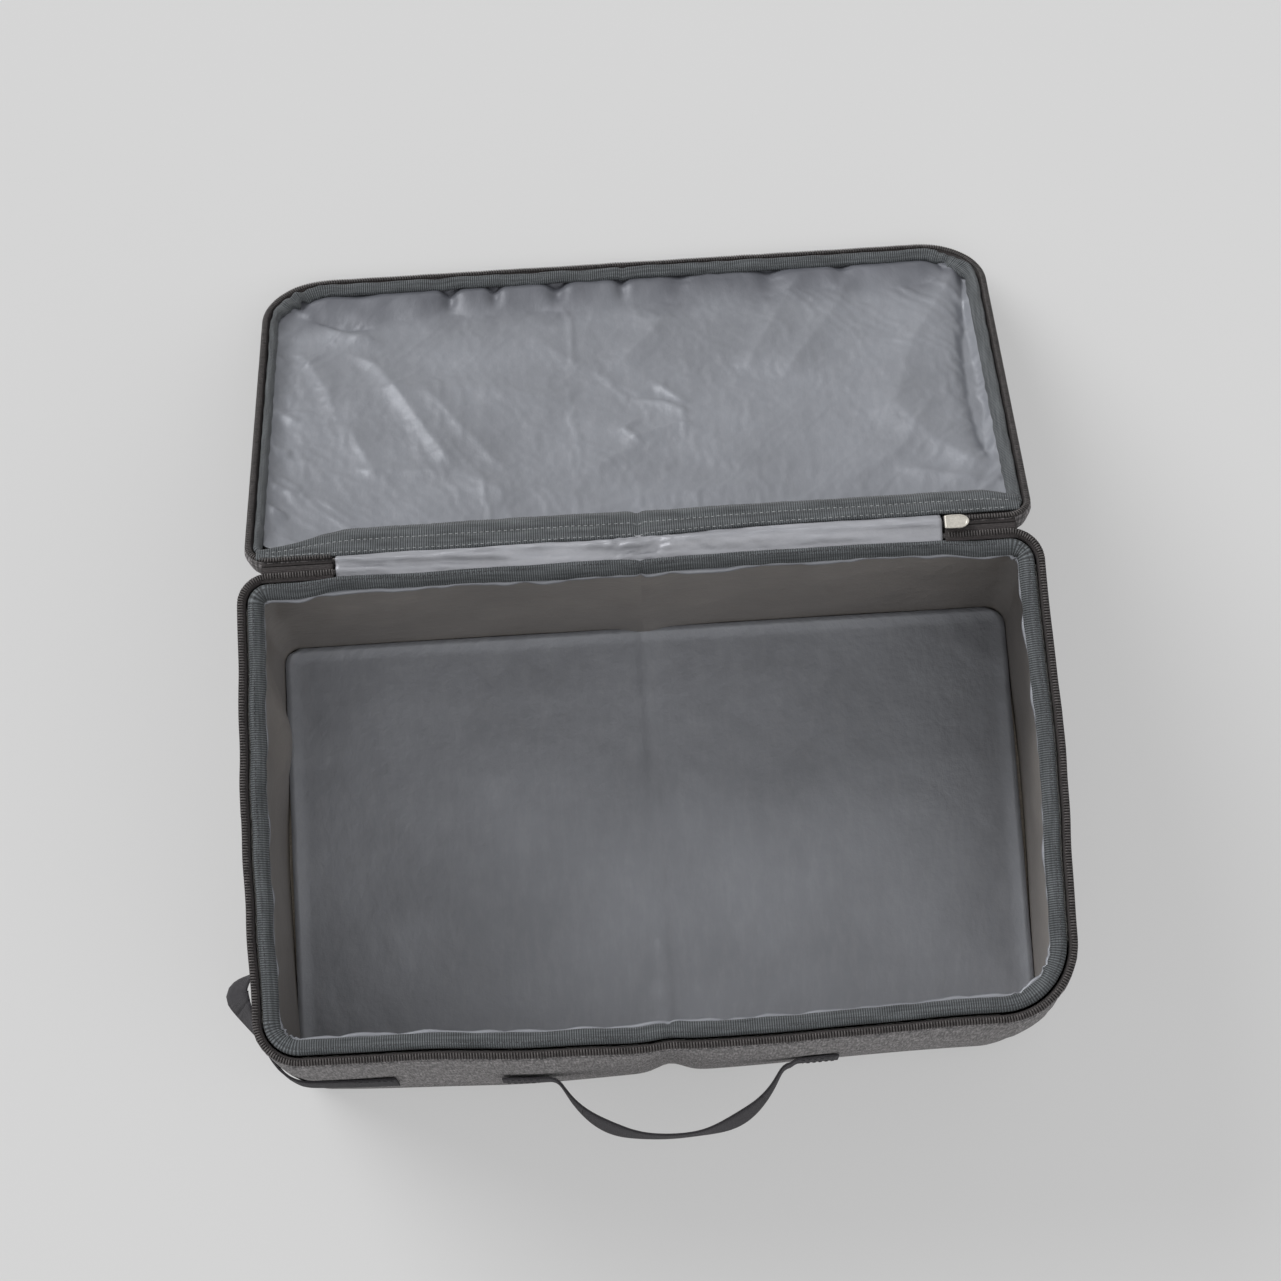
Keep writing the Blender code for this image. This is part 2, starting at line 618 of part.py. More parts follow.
def main():
    clear_scene()
    looks = {
        "outer": finish("outer_cloth", (0.16, 0.155, 0.16), 0.9),
        "foam": finish("foam", (0.75, 0.75, 0.72), 0.95),
        "board": finish("board", (0.55, 0.50, 0.42), 0.8),
        "lining": finish("silver_lining", (0.33, 0.335, 0.36), 0.45),
        "binding": finish("binding", (0.09, 0.10, 0.11), 0.85),
        "tape": finish("zip_tape", (0.06, 0.05, 0.05), 0.9),
        "coil": finish("zip_coil", (0.03, 0.03, 0.03), 0.4),
        "metal": finish("zip_metal", (0.6, 0.58, 0.54), 0.35, 1.0),
        "webbing": finish("handle_webbing", (0.045, 0.042, 0.047), 0.85),
        "strap": finish("corner_webbing", (0.07, 0.065, 0.075), 0.9),
    }
    case = rounded_outline(
        HALF_WIDTH, -HALF_DEPTH, HALF_DEPTH, CORNER_RADIUS, CORNER_RADIUS, FRONT_BOW, SIDE_BOW
    )
    near, far = HINGE_GAP / 2.0, HINGE_GAP / 2.0 + LID_LENGTH
    lid = rounded_outline(LID_HALF_WIDTH, near, far, LID_NEAR_RADIUS, LID_FAR_RADIUS, 0.0, 0.0)
    make_base(case, looks)
    make_walls(case, looks)
    rim = empty("rim_carrier", (0.0, 0.0, RIM_BASE))
    make_rim(case, looks, rim)
    lid_carrier = empty("lid_carrier", (0.0, HINGE_Y, HINGE_Z - RIM_BASE), -LID_DROOP, rim)
    make_lid(lid, looks, lid_carrier)
    slider_x = HINGE_LENGTH / 2.0 + HINGE_FOLD_RADIUS
    tape_middle = HEIGHT - TAPE_THICKNESS / 4.0
    slider = empty("slider_carrier", (slider_x, HINGE_Y, tape_middle - RIM_BASE), parent=rim)
    make_slider(looks, slider)
    pull_z = SLIDER_MOUTH / 2.0 + SLIDER_PLATE + CLEARANCE + PULL_THICKNESS / 2.0
    make_pull(looks, empty("pull_carrier", (0.0, 0.0, pull_z), parent=slider))
    fittings = empty("fittings_carrier", (0.0, 0.0, FITTING_HEIGHT))
    axis_y = -HALF_DEPTH - FRONT_BOW - HANDLE_ROOT
    make_handle(looks, fittings, empty("handle_carrier", (0.0, axis_y, 0.0), parent=fittings))
    side_root = corner_loop_frame()[0]
    make_corner_loop(looks, fittings, empty("corner_carrier", (*side_root, 0.0), parent=fittings))


main()
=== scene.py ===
"""The foldable litter box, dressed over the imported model: cloth, lining, binding, zip and webbing.

Units are metres. X is the width, Y runs from front to back and Z is up.
"""
import json
from math import atan2, cos, exp, hypot, pi, radians, sin, sqrt

import bmesh
import bpy
from mathutils import Matrix, Vector, noise

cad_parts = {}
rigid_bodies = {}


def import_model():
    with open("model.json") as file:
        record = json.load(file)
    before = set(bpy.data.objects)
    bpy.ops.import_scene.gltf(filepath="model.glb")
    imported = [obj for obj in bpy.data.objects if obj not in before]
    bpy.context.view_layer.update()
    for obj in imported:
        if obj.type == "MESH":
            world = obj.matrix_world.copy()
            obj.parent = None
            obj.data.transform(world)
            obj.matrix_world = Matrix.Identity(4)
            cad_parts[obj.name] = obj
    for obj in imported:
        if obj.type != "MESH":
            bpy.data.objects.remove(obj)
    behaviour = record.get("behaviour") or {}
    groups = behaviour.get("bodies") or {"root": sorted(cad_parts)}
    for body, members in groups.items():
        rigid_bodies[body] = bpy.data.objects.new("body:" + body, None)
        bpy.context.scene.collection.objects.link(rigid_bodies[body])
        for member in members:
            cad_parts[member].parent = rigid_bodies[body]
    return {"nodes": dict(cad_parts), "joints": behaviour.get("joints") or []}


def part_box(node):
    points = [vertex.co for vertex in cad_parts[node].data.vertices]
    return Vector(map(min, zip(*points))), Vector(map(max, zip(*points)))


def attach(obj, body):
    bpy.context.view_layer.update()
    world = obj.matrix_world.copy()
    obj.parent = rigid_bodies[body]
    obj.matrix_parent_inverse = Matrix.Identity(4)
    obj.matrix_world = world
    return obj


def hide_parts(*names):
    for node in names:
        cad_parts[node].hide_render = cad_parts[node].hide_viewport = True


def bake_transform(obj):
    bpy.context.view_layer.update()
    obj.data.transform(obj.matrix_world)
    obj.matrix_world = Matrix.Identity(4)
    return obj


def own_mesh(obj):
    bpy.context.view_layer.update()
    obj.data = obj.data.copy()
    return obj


for item in list(bpy.data.objects):
    bpy.data.objects.remove(item, do_unlink=True)
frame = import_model()
bpy.context.view_layer.update()
nodes = frame["nodes"]
joints = {joint["name"]: joint for joint in frame["joints"]}

# Sizes taken from the frame
HALF_WIDTH = 0.215
RIM_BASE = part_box("rim_cloth")[0].z
RIM_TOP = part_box("rim_binding")[1].z
WALL_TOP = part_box("front_cloth")[1].z
HALF_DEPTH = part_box("rim_cloth")[1].y
FRONT_BOW = -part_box("rim_cloth")[0].y - HALF_DEPTH
SIDE_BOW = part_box("rim_cloth")[1].x - HALF_WIDTH
HINGE_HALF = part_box("hinge_strip_case")[1].x
HINGE = Vector(joints["lid_hinge"]["pos_m"])

# The lid's own frame: x across, t away from the hinge, n out of its open side
lid_normal = max(nodes["lid_panel_cloth"].data.polygons, key=lambda face: face.area).normal
LID_DROOP = atan2(abs(lid_normal.y), abs(lid_normal.z))
LID_FRAME = Matrix.Translation(HINGE) @ Matrix.Rotation(-LID_DROOP, 4, "X")
LID_NEAR = 0.005
LID_FAR = 0.264
LID_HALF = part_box("lid_gusset_cloth")[1].x
LID_FLOOR = -0.0183
LID_TOP = -0.0003

# Corner rounds and cloth thicknesses
CORNER_RADII = (0.016, 0.024, 0.042, 0.018)
LID_FAR_RADIUS, LID_NEAR_RADIUS = 0.038, 0.014
BOTTOM_ROUND = 0.005
LID_ROUND = 0.0105
CLOTH = 0.0012
LINING = 0.0006
LINING_INSET = 0.0061

# Which way a thickened sheet grows from its face
INWARDS, BOTH_WAYS, OUTWARDS = -1.0, 0.0, 1.0

# Sewing
RIB_PITCH = 0.00125
TOOTH_PITCH = 0.0015
STITCH_LENGTH = 0.0022
STITCH_STEP = 0.0033
STITCH_RADIUS = 0.00028

# The photograph's camera
CAMERA_PLACE = (0.0011, -0.3002, 1.9295)
CAMERA_PITCH = radians(12.245)
CAMERA_YAW = radians(-0.482)
CAMERA_ROLL = radians(3.96)
LENS_MM = 95.558
SENSOR_MM = 36.0

UP = Vector((0.0, 0.0, 1.0))


# Small helpers

def smooth(low, high, value):
    """0 below low, 1 above high, and an eased step between."""
    share = min(1.0, max(0.0, (value - low) / (high - low)))
    return share * share * (3.0 - 2.0 * share)


def bell(value, middle, spread):
    """1 at the middle, and falling to 0 on both sides."""
    return exp(-(((value - middle) / spread) ** 2))


def wave(seed, a, b=0.0):
    """Smooth noise between about -1 and 1."""
    return noise.noise(Vector((a, b, seed * 7.31)))


def spaced(start, end, count):
    """Numbers from start to end in a count of even steps."""
    return [start + (end - start) * i / count for i in range(count + 1)]


def evenly(start, end, spacing):
    """Numbers from start to end in even steps, close to a spacing."""
    return spaced(start, end, max(1, round((end - start) / spacing)))


def oblong(left, right, low, high):
    return [(left, low), (right, low), (right, high), (left, high)]


def line(start, end, bow=0.0):
    """A straight stretch of an outline, which may bow outwards, and its length."""
    start, end = Vector(start), Vector(end)
    along = (end - start).normalized()
    normal = Vector((along.y, -along.x))

    def at(share):
        swell = bow * (1.0 - cos(2.0 * pi * share)) / 2.0
        return start.lerp(end, share) + normal * swell, normal

    return at, (end - start).length


def arc(centre, radius, from_degrees):
    """A corner of an outline, a quarter of a circle, and its length."""
    centre = Vector(centre)

    def at(share):
        angle = radians(from_degrees + 90.0 * share)
        normal = Vector((cos(angle), sin(angle)))
        return centre + normal * radius, normal

    return at, radius * pi / 2.0


def rounded_outline(half_x, front, back, radii, front_bow=0.0, side_bow=0.0):
    """A closed outline that starts in the middle of its back and runs anticlockwise.

    The radii are those of the back left, front left, front right and back right corners.
    """
    back_left, front_left, front_right, back_right = radii
    return [
        line((0.0, back), (-half_x + back_left, back)),
        arc((-half_x + back_left, back - back_left), back_left, 90.0),
        line((-half_x, back - back_left), (-half_x, front + front_left), side_bow),
        arc((-half_x + front_left, front + front_left), front_left, 180.0),
        line((-half_x + front_left, front), (half_x - front_right, front), front_bow),
        arc((half_x - front_right, front + front_right), front_right, 270.0),
        line((half_x, front + front_right), (half_x, back - back_right), side_bow),
        arc((half_x - back_right, back - back_right), back_right, 0.0),
        line((half_x - back_right, back), (0.0, back)),
    ]


def length_of(outline):
    return sum(length for _at, length in outline)


def place_on(outline, distance):
    """The point and outward normal at a distance along an outline, and how deep in a corner it is."""
    distance %= length_of(outline)
    for index, (at, length) in enumerate(outline):
        if distance <= length:
            point, normal = at(distance / length)
            return point, normal, (sin(pi * distance / length) if index % 2 else 0.0)
        distance -= length
    return *outline[-1][0](1.0), 0.0


def walk(outline, spacing, start=None, end=None):
    """Even steps along an outline, all round it or over one stretch."""
    around = start is None
    if around:
        start, end = 0.0, length_of(outline)
    distances = spaced(start, end, max(2, round((end - start) / spacing)))
    if around:
        distances.pop()
    return [(distance, *place_on(outline, distance)) for distance in distances]


def stand(name, points=(), faces=(), work=None):
    """A new object in the scene, from points and faces or from a bmesh."""
    mesh = bpy.data.meshes.new(name)
    if work is None:
        mesh.from_pydata(points, [], faces)
    else:
        work.to_mesh(mesh)
        work.free()
    item = bpy.data.objects.new(name, mesh)
    bpy.context.scene.collection.objects.link(item)
    mesh.shade_smooth()
    return item


def face_outwards(item):
    work = bmesh.new()
    work.from_mesh(item.data)
    bmesh.ops.recalc_face_normals(work, faces=work.faces)
    work.to_mesh(item.data)
    work.free()
    item.data.shade_smooth()
    return item


def lay_grid(name, rows, around=False, tube=False):
    """A mesh over rows of points, with a flat pattern of it, in metres, as UVs."""
    count, width = len(rows), len(rows[0])
    middle = width // 2
    across, along = [0.0], [0.0]
    for i in range(count if around else count - 1):
        across.append(across[-1] + (rows[(i + 1) % count][middle] - rows[i][middle]).length)
    for j in range(width if tube else width - 1):
        along.append(along[-1] + (rows[0][(j + 1) % width] - rows[0][j]).length)
    faces, pattern = [], []
    for i in range(len(across) - 1):
        for j in range(len(along) - 1):
            k, m = (i + 1) % count, (j + 1) % width
            faces.append((i * width + j, k * width + j, k * width + m, i * width + m))
            for a, b in ((i, j), (i + 1, j), (i + 1, j + 1), (i, j + 1)):
                pattern += (across[a], along[b])
    if tube and not around:
        for i, row in ((0, range(width)), (count - 1, range(width - 1, -1, -1))):
            faces.append([i * width + j for j in row])
            for j in row:
                pattern += (across[i], along[j])
    item = stand(name, [point for row in rows for point in row], faces)
    item.data.uv_layers.new(name="sewn").data.foreach_set("uv", pattern)
    return face_outwards(item) if tube else item


def settle(item):
    """Applies the modifiers of a piece."""
    shown = item.evaluated_get(bpy.context.evaluated_depsgraph_get())
    mesh = bpy.data.meshes.new_from_object(shown)
    item.modifiers.clear()
    item.data = mesh
    return item


def thicken(item, thickness, offset):
    """Gives a sheet its thickness and closes its edges."""
    solid = item.modifiers.new("thickness", "SOLIDIFY")
    solid.thickness = thickness
    solid.offset = offset
    return face_outwards(settle(item))


def dress(item, body, look, slot, *replaced):
    """Gives a piece its finish and its body, and hides the CAD nodes that it stands for.

    Cloth over a joint has two bodies and two points for its body; these are not used, and the piece is only
    left in place in the world.
    """
    item.data.materials.clear()
    item.data.materials.append(look)
    if isinstance(body, str):
        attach(item, body)
    else:
        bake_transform(item)
    if replaced:
        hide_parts(*replaced)
    return item


def fold_with_rim(item):
    """A soft piece of the walls, given its own copy of its mesh."""
    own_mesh(item)


def onto_lid(item):
    item.data.transform(LID_FRAME)
    return item


def straight_weave(item):
    """Lays the pattern straight over a box-like piece, so that its cloth isn't turned round the middle."""
    pattern = item.data.uv_layers["sewn"].data
    for face in item.data.polygons:
        way = face.normal
        if abs(way.z) > 0.55:
            first, second = 0, 1
        else:
            first, second = (1, 2) if abs(way.x) > abs(way.y) else (0, 2)
        for corner in face.loop_indices:
            place = item.data.vertices[item.data.loops[corner].vertex_index].co
            pattern[corner].uv = (place[first], place[second])


def ring_faces(rings, size, around=False):
    """Faces between closed rings of points, which are numbered ring after ring."""
    faces = []
    for i in range(rings if around else rings - 1):
        here, there = i * size, (i + 1) % rings * size
        for j in range(size):
            k = (j + 1) % size
            faces.append((here + j, here + k, there + k, there + j))
    return faces


def small_parts(name, shapes):
    """One mesh of many small closed shapes, each given as points and faces."""
    points, faces = [], []
    for shape_points, shape_faces in shapes:
        base = len(points)
        points += shape_points
        faces += [[base + k for k in face] for face in shape_faces]
    return face_outwards(stand(name, points, faces))


def stitch(centre, along, up):
    """One stitch of thread: a bar with pointed ends, half sunk in the cloth."""
    side = along.cross(up).normalized()
    reach = STITCH_LENGTH / 2.0
    points = [centre - along * reach]
    for share in (-0.6, 0.6):
        for a, b in ((1, 0), (0, 1), (-1, 0), (0, -1)):
            points.append(centre + along * reach * share + (side * a + up * b) * STITCH_RADIUS)
    points.append(centre + along * reach)
    faces = []
    for k in range(4):
        other = (k + 1) % 4
        faces += [(0, 1 + other, 1 + k), (1 + k, 1 + other, 5 + other, 5 + k), (9, 5 + k, 5 + other)]
    return points, faces


def stitch_line(path, up_at=lambda _point: UP):
    """Stitches along a path of points, where up_at gives the way out of the cloth."""
    shapes, left = [], 0.0
    for here, there in zip(path, path[1:]):
        length = (there - here).length
        along = (there - here).normalized()
        while left < length:
            point = here + along * left
            shapes.append(stitch(point, along, up_at(point)))
            left += STITCH_STEP
        left -= length
    return shapes


def box_stitches(corners, out_way):
    """A sewn box."""
    shapes = []
    for start, end in zip(corners, corners[1:] + corners[:1]):
        shapes += stitch_line([start, end], lambda _point: Vector(out_way))
    return shapes


def plate_from(name, outline, low, high, bevel):
    """A flat plate with rounded edges."""
    size = len(outline)
    outline = [Vector(place) for place in outline]
    middle = sum(outline, Vector((0.0, 0.0))) / size
    points = []
    for height, shrink in ((low, bevel), (low + bevel, 0.0), (high - bevel, 0.0), (high, bevel)):
        for place in outline:
            points.append((*(place + (middle - place).normalized() * shrink), height))
    ends = [tuple(range(size)), tuple(range(3 * size, 4 * size))]
    return small_parts(name, [(points, ring_faces(4, size) + ends)])


# Materials

class Look:
    """Short calls for building one material's nodes."""

    def __init__(self, name, colour, roughness, metallic=0.0):
        self.material = bpy.data.materials.new(name)
        self.material.use_nodes = True
        self.colour = colour
        self.tree = self.material.node_tree
        self.shader = self.tree.nodes["Principled BSDF"]
        self.shader.inputs["Base Color"].default_value = (*colour, 1.0)
        self.shader.inputs["Roughness"].default_value = roughness
        self.shader.inputs["Metallic"].default_value = metallic

    def add(self, kind, inputs=(), **settings):
        node = self.tree.nodes.new(kind)
        for key, value in settings.items():
            setattr(node, key, value)
        for key, value in dict(inputs).items():
            self.put(node.inputs[key], value)
        return node

    def put(self, socket, value):
        if isinstance(value, bpy.types.NodeSocket):
            self.tree.links.new(value, socket)
        else:
            socket.default_value = value

    def scaled(self, place, scale):
        return self.add("ShaderNodeMapping", {"Vector": place, "Scale": scale}).outputs["Vector"]

    def sewn(self, across=1.0, along=1.0):
        """The flat pattern's place of each point, scaled."""
        return self.scaled(self.add("ShaderNodeUVMap", uv_map="sewn").outputs["UV"], (across, along, 1.0))

    def solid(self, scale=(1.0, 1.0, 1.0)):
        return self.scaled(self.add("ShaderNodeTexCoord").outputs["Object"], scale)

    def noise(self, place, scale, detail=2.0, roughness=0.5):
        settings = {"Vector": place, "Scale": scale, "Detail": detail, "Roughness": roughness}
        return self.add("ShaderNodeTexNoise", settings).outputs["Fac"]

    def yarns(self, across, along, detail=2.0, roughness=0.5):
        """Noise over the flat pattern, finer one way than the other."""
        return self.noise(self.sewn(across, along), 1.0, detail, roughness)

    def bands(self, pitch, direction):
        """Parallel ribs over the flat pattern, with a pitch in metres."""
        settings = {"Vector": self.sewn(), "Scale": pi / 10.0 / pitch, "Distortion": 0.0}
        return self.add("ShaderNodeTexWave", settings, bands_direction=direction).outputs["Fac"]

    def maths(self, operation, a, b):
        return self.add("ShaderNodeMath", {0: a, 1: b}, operation=operation).outputs[0]

    def ramp(self, value, low, high, dark, light):
        """A colour between two, as a value goes from low to high."""
        node = self.add("ShaderNodeValToRGB", {"Fac": value})
        first, last = node.color_ramp.elements
        first.position, first.color = low, (*dark, 1.0)
        last.position, last.color = high, (*light, 1.0)
        return node.outputs["Color"]

    def tint(self, value, low, high, dark, light):
        """The look's own colour times dark to light, as a value goes from low to high."""
        shades = [tuple(channel * share for channel in self.colour) for share in (dark, light)]
        return self.ramp(value, low, high, *shades)

    def spread(self, value, low, high):
        node = self.add("ShaderNodeMapRange", {"Value": value, "To Min": low, "To Max": high})
        return node.outputs["Result"]

    def times(self, a, b):
        """One colour multiplied by another."""
        settings = {"data_type": "RGBA", "blend_type": "MULTIPLY"}
        return self.add("ShaderNodeMix", {0: 1.0, 6: a, 7: b}, **settings).outputs[2]

    def bump(self, height, distance, strength=1.0, after=None):
        inputs = {"Height": height, "Distance": distance, "Strength": strength}
        if after is not None:
            inputs["Normal"] = after
        return self.add("ShaderNodeBump", inputs).outputs["Normal"]

    def finish(self, colour=None, normal=None, roughness=None, **values):
        for key, value in (("Base Color", colour), ("Normal", normal), ("Roughness", roughness)):
            if value is not None:
                self.put(self.shader.inputs[key], value)
        for key, value in values.items():
            self.shader.inputs[key.replace("_", " ")].default_value = value
        return self.material


def heather_cloth(name, colour):
    """Woven cloth of mixed yarns: short streaks of light and dark both ways, and longer slubs."""
    look = Look(name, colour, 0.92)
    large = look.yarns(18.0, 18.0, 3.0)
    tone = look.tint(large, 0.3, 0.7, 0.9, 1.08)
    streaks = (
        (150.0, 1000.0, 2.0, 0.38, 0.62, 0.5, 1.5),
        (1000.0, 110.0, 2.0, 0.38, 0.62, 0.45, 1.55),
        (330.0, 70.0, 3.0, 0.34, 0.66, 0.7, 1.32),
    )
    for across, along, detail, low, high, dark, light in streaks:
        streak = look.ramp(look.yarns(across, along, detail, 0.6), low, high, (dark,) * 3, (light,) * 3)
        tone = look.times(tone, streak)
    threads = look.maths("ADD", look.yarns(150.0, 1000.0), look.yarns(1000.0, 150.0))
    soft = look.bump(large, 0.0015, 0.35, look.bump(threads, 0.0005, 0.8))
    return look.finish(tone, soft, Sheen_Weight=0.12, Sheen_Roughness=0.5)


def silver_film(name, colour, crinkle, painted_shade_from=None):
    """Grey coated lining, softly glossy, worn and crinkled; darkened as painted shade beyond a place on its
    pattern.
    """
    look = Look(name, colour, 0.44, 0.22)
    scuff = look.yarns(45.0, 160.0, 5.0, 0.7)
    tone = look.tint(look.yarns(14.0, 14.0, 4.0, 0.55), 0.3, 0.72, 0.86, 1.12)
    tone = look.times(tone, look.ramp(scuff, 0.45, 0.75, (1.0, 1.0, 1.0), (1.14, 1.13, 1.12)))
    if painted_shade_from is not None:
        # Painted shade under the lid's far binding: the colour falls to about half beyond this place along
        # the pattern, with a ragged boundary.
        along = look.add("ShaderNodeSeparateXYZ", {"Vector": look.sewn()}).outputs["X"]
        edge = look.maths("ADD", along, look.spread(look.yarns(20.0, 34.0, 3.0), -0.022, 0.022))
        painted_shade = look.ramp(edge, painted_shade_from, painted_shade_from + 0.03, (1.0, 1.0, 1.0), (0.5, 0.5, 0.52))
        tone = look.times(tone, painted_shade)
    crinkles = look.bump(look.yarns(120.0, 150.0, 4.0, 0.6), 0.0011 * crinkle, 0.45)
    grain = look.bump(look.yarns(1400.0, 1400.0), 0.00008, 0.5, crinkles)
    return look.finish(tone, grain, look.spread(scuff, 0.38, 0.56))


def ribbed_tape(name, colour, pitch):
    """Grosgrain binding: ribs across its length, with painted shade between the ribs, painted highlight on
    their crests and random paler wear.
    """
    look = Look(name, colour, 0.82)
    ribs = look.bands(pitch, "X")
    wear = look.ramp(look.yarns(40.0, 700.0, 4.0, 0.65), 0.34, 0.68, (0.62, 0.62, 0.62), (1.55, 1.52, 1.5))
    # Painted shade and highlight: darker between the ribs and lighter on their crests; the wear streaks are
    # random.
    tone = look.times(look.tint(ribs, 0.05, 0.9, 0.4, 1.38), wear)
    fuzz = look.bump(look.yarns(900.0, 900.0, 3.0, 0.7), 0.0002, 0.6, look.bump(ribs, 0.0005, 0.9))
    return look.finish(tone, fuzz, Sheen_Weight=0.12, Sheen_Roughness=0.4)


def webbing_weave(name, colour, rib):
    """Strap webbing: ridges along its length crossed by a fine weft, with painted shade in the grooves and
    painted highlight on the ridges.
    """
    look = Look(name, colour, 0.85)
    both = look.maths("MULTIPLY", look.bands(rib, "Y"), look.spread(look.bands(rib * 0.8, "X"), 0.55, 1.0))
    fuzz = look.yarns(700.0, 700.0, 3.0, 0.65)
    flecks = look.ramp(fuzz, 0.35, 0.75, (0.8, 0.8, 0.8), (1.35, 1.32, 1.35))
    # Painted shade and highlight: darker in the weave's grooves and lighter on its ridges; the flecks are
    # random.
    tone = look.times(look.tint(both, 0.05, 0.95, 0.55, 1.4), flecks)
    raised = look.bump(fuzz, 0.0003, 0.5, look.bump(both, 0.0006, 0.85))
    return look.finish(tone, raised, Sheen_Weight=0.05, Sheen_Roughness=0.4)


def zip_tape_weave(name, colour):
    look = Look(name, colour, 0.85)
    tone = look.tint(look.yarns(800.0, 800.0, 3.0, 0.6), 0.3, 0.75, 0.6, 1.6)
    return look.finish(tone, look.bump(look.bands(0.0009, "Y"), 0.0003, 0.7))


def nylon(name, colour, roughness):
    look = Look(name, colour, roughness)
    worn = look.noise(look.solid(), 420.0, 3.0, 0.6)
    tone = look.tint(worn, 0.3, 0.75, 0.6, 2.2)
    return look.finish(tone, look.bump(worn, 0.0001, 0.4), look.spread(worn, roughness, roughness + 0.25))


def thread(name, colour):
    look = Look(name, colour, 0.7)
    twist = look.noise(look.solid(), 1500.0, 2.0)
    return look.finish(look.tint(twist, 0.3, 0.7, 0.75, 1.15), look.bump(twist, 0.0001, 0.5))


def cast_metal(name, colour):
    """Plated zinc: cream-silver, faintly pitted and brushed by use."""
    look = Look(name, colour, 0.36, 0.85)
    pits = look.noise(look.solid(), 900.0, 3.0, 0.6)
    brushed = look.noise(look.solid((60.0, 900.0, 900.0)), 1.0, 3.0)
    tone = look.tint(pits, 0.35, 0.7, 0.82, 1.05)
    return look.finish(tone, look.bump(pits, 0.00008, 0.5), look.spread(brushed, 0.28, 0.5))


def foam_look(name, colour):
    look = Look(name, colour, 0.95)
    cells = look.add("ShaderNodeTexVoronoi", {"Vector": look.solid(), "Scale": 900.0}).outputs["Distance"]
    return look.finish(look.tint(cells, 0.0, 0.7, 0.8, 1.0), look.bump(cells, 0.0003, 0.6))


def board_look(name, colour):
    look = Look(name, colour, 0.8)
    fibres = look.noise(look.solid((90.0, 600.0, 600.0)), 1.0, 4.0, 0.6)
    return look.finish(look.tint(fibres, 0.3, 0.7, 0.8, 1.1), look.bump(fibres, 0.0001, 0.4))


OUTER = heather_cloth("heathered_outer_cloth", (0.15, 0.141, 0.142))
UNDER = heather_cloth("underside_cloth", (0.075, 0.073, 0.076))
SILVER = silver_film("silver_lining_film", (0.252, 0.262, 0.288), 1.0)
# The lid's copy of the lining film carries a band of painted shade along its far edge, under the binding.
SILVER_LID = silver_film("silver_lid_film", (0.228, 0.238, 0.264), 0.8, 0.196)
# The hinge strip's copy of the lining film, made lighter as painted light.
SILVER_HINGE_PAINTED_LIGHT = silver_film("silver_hinge_film_painted_light", (0.35, 0.356, 0.385), 1.6)
# The walls' copy of the grey lining film, tinted warm brown as a painted reflection of litter.
SILVER_WALL_PAINTED_REFLECTION = silver_film("silver_wall_film_painted_reflection", (0.282, 0.262, 0.246), 1.4)
BINDING = ribbed_tape("ribbed_binding", (0.084, 0.093, 0.1), RIB_PITCH)
TAPE = zip_tape_weave("zip_tape_weave", (0.034, 0.029, 0.029))
COIL = nylon("nylon_coil", (0.05, 0.045, 0.044), 0.3)
METAL = cast_metal("plated_zinc", (0.66, 0.63, 0.57))
WEBBING = webbing_weave("handle_webbing_weave", (0.052, 0.049, 0.055), 0.0012)
# The corner strap's own dark webbing colour, made darker still as painted shade for its bulging, leaning
# face.
STRAP = webbing_weave("corner_webbing_weave", (0.026, 0.024, 0.029), 0.0014)
PALE_THREAD = thread("pale_thread", (0.34, 0.35, 0.36))
DARK_THREAD = thread("dark_thread", (0.06, 0.06, 0.065))
FOAM = foam_look("foam_cells", (0.72, 0.72, 0.69))
BOARD = board_look("stiff_board", (0.5, 0.45, 0.38))


# The case's soft walls

CASE = rounded_outline(HALF_WIDTH, -HALF_DEPTH, HALF_DEPTH, CORNER_RADII, FRONT_BOW, SIDE_BOW)
CASE_LENGTH = length_of(CASE)


def wall_shift(point, normal, height):
    """How far the soft wall stands out from the case's plain outline."""
    front = smooth(0.6, 0.95, -normal.y)
    back = smooth(0.6, 0.95, normal.y)
    up = height / WALL_TOP
    puff = 0.0022 * sin(pi * min(1.0, up)) ** 0.8
    crease = 0.0045 * bell(point.x, 0.0, 0.01) * (front + 0.6 * back) * (1.0 - 0.72 * smooth(0.8, 1.0, up))
    tuck = 0.0035 * front * smooth(-0.1, 0.0, point.x) * (1.0 - smooth(0.0, 0.7, up))
    from_corner = hypot(point.x + HALF_WIDTH, point.y + HALF_DEPTH)
    tuck += 0.0022 * bell(from_corner, 0.0, 0.035) * (1.0 - smooth(0.25, 0.95, up))
    round_the_case = atan2(point.y * 1.6, point.x)
    sway = 0.0009 * wave(3, round_the_case * 5.0, height * 7.0) * smooth(0.0, 0.3, up)
    return puff * (1.0 - 0.5 * bell(point.x, 0.0, 0.03) * (front + back)) - crease - tuck + sway


def wall_rows(section, spacing, folds=None, start=None, end=None):
    """Rows of points for one layer of the walls.

    The section is a list of insets and heights; folds pushes the layer further inwards.
    """
    rows = []
    for distance, point, normal, corner in walk(CASE, spacing, start, end):
        row = []
        for inset, height in section:
            out = wall_shift(point, normal, height) - inset
            if folds is not None:
                out -= folds(distance, point, normal, corner, height)
            row.append(Vector((*(point + normal * out), height)))
        rows.append(row)
    return rows


def outer_folds(distance, _point, _normal, corner, height):
    """Soft upright folds at the corners and slack between them."""
    up = height / WALL_TOP
    pull = 0.0009 * corner * wave(11, distance * 210.0, height * 6.0) * smooth(0.15, 0.9, up)
    slack = 0.0007 * wave(12, distance * 32.0 + height * 30.0, height * 16.0)
    return pull + slack * smooth(0.05, 0.3, up)


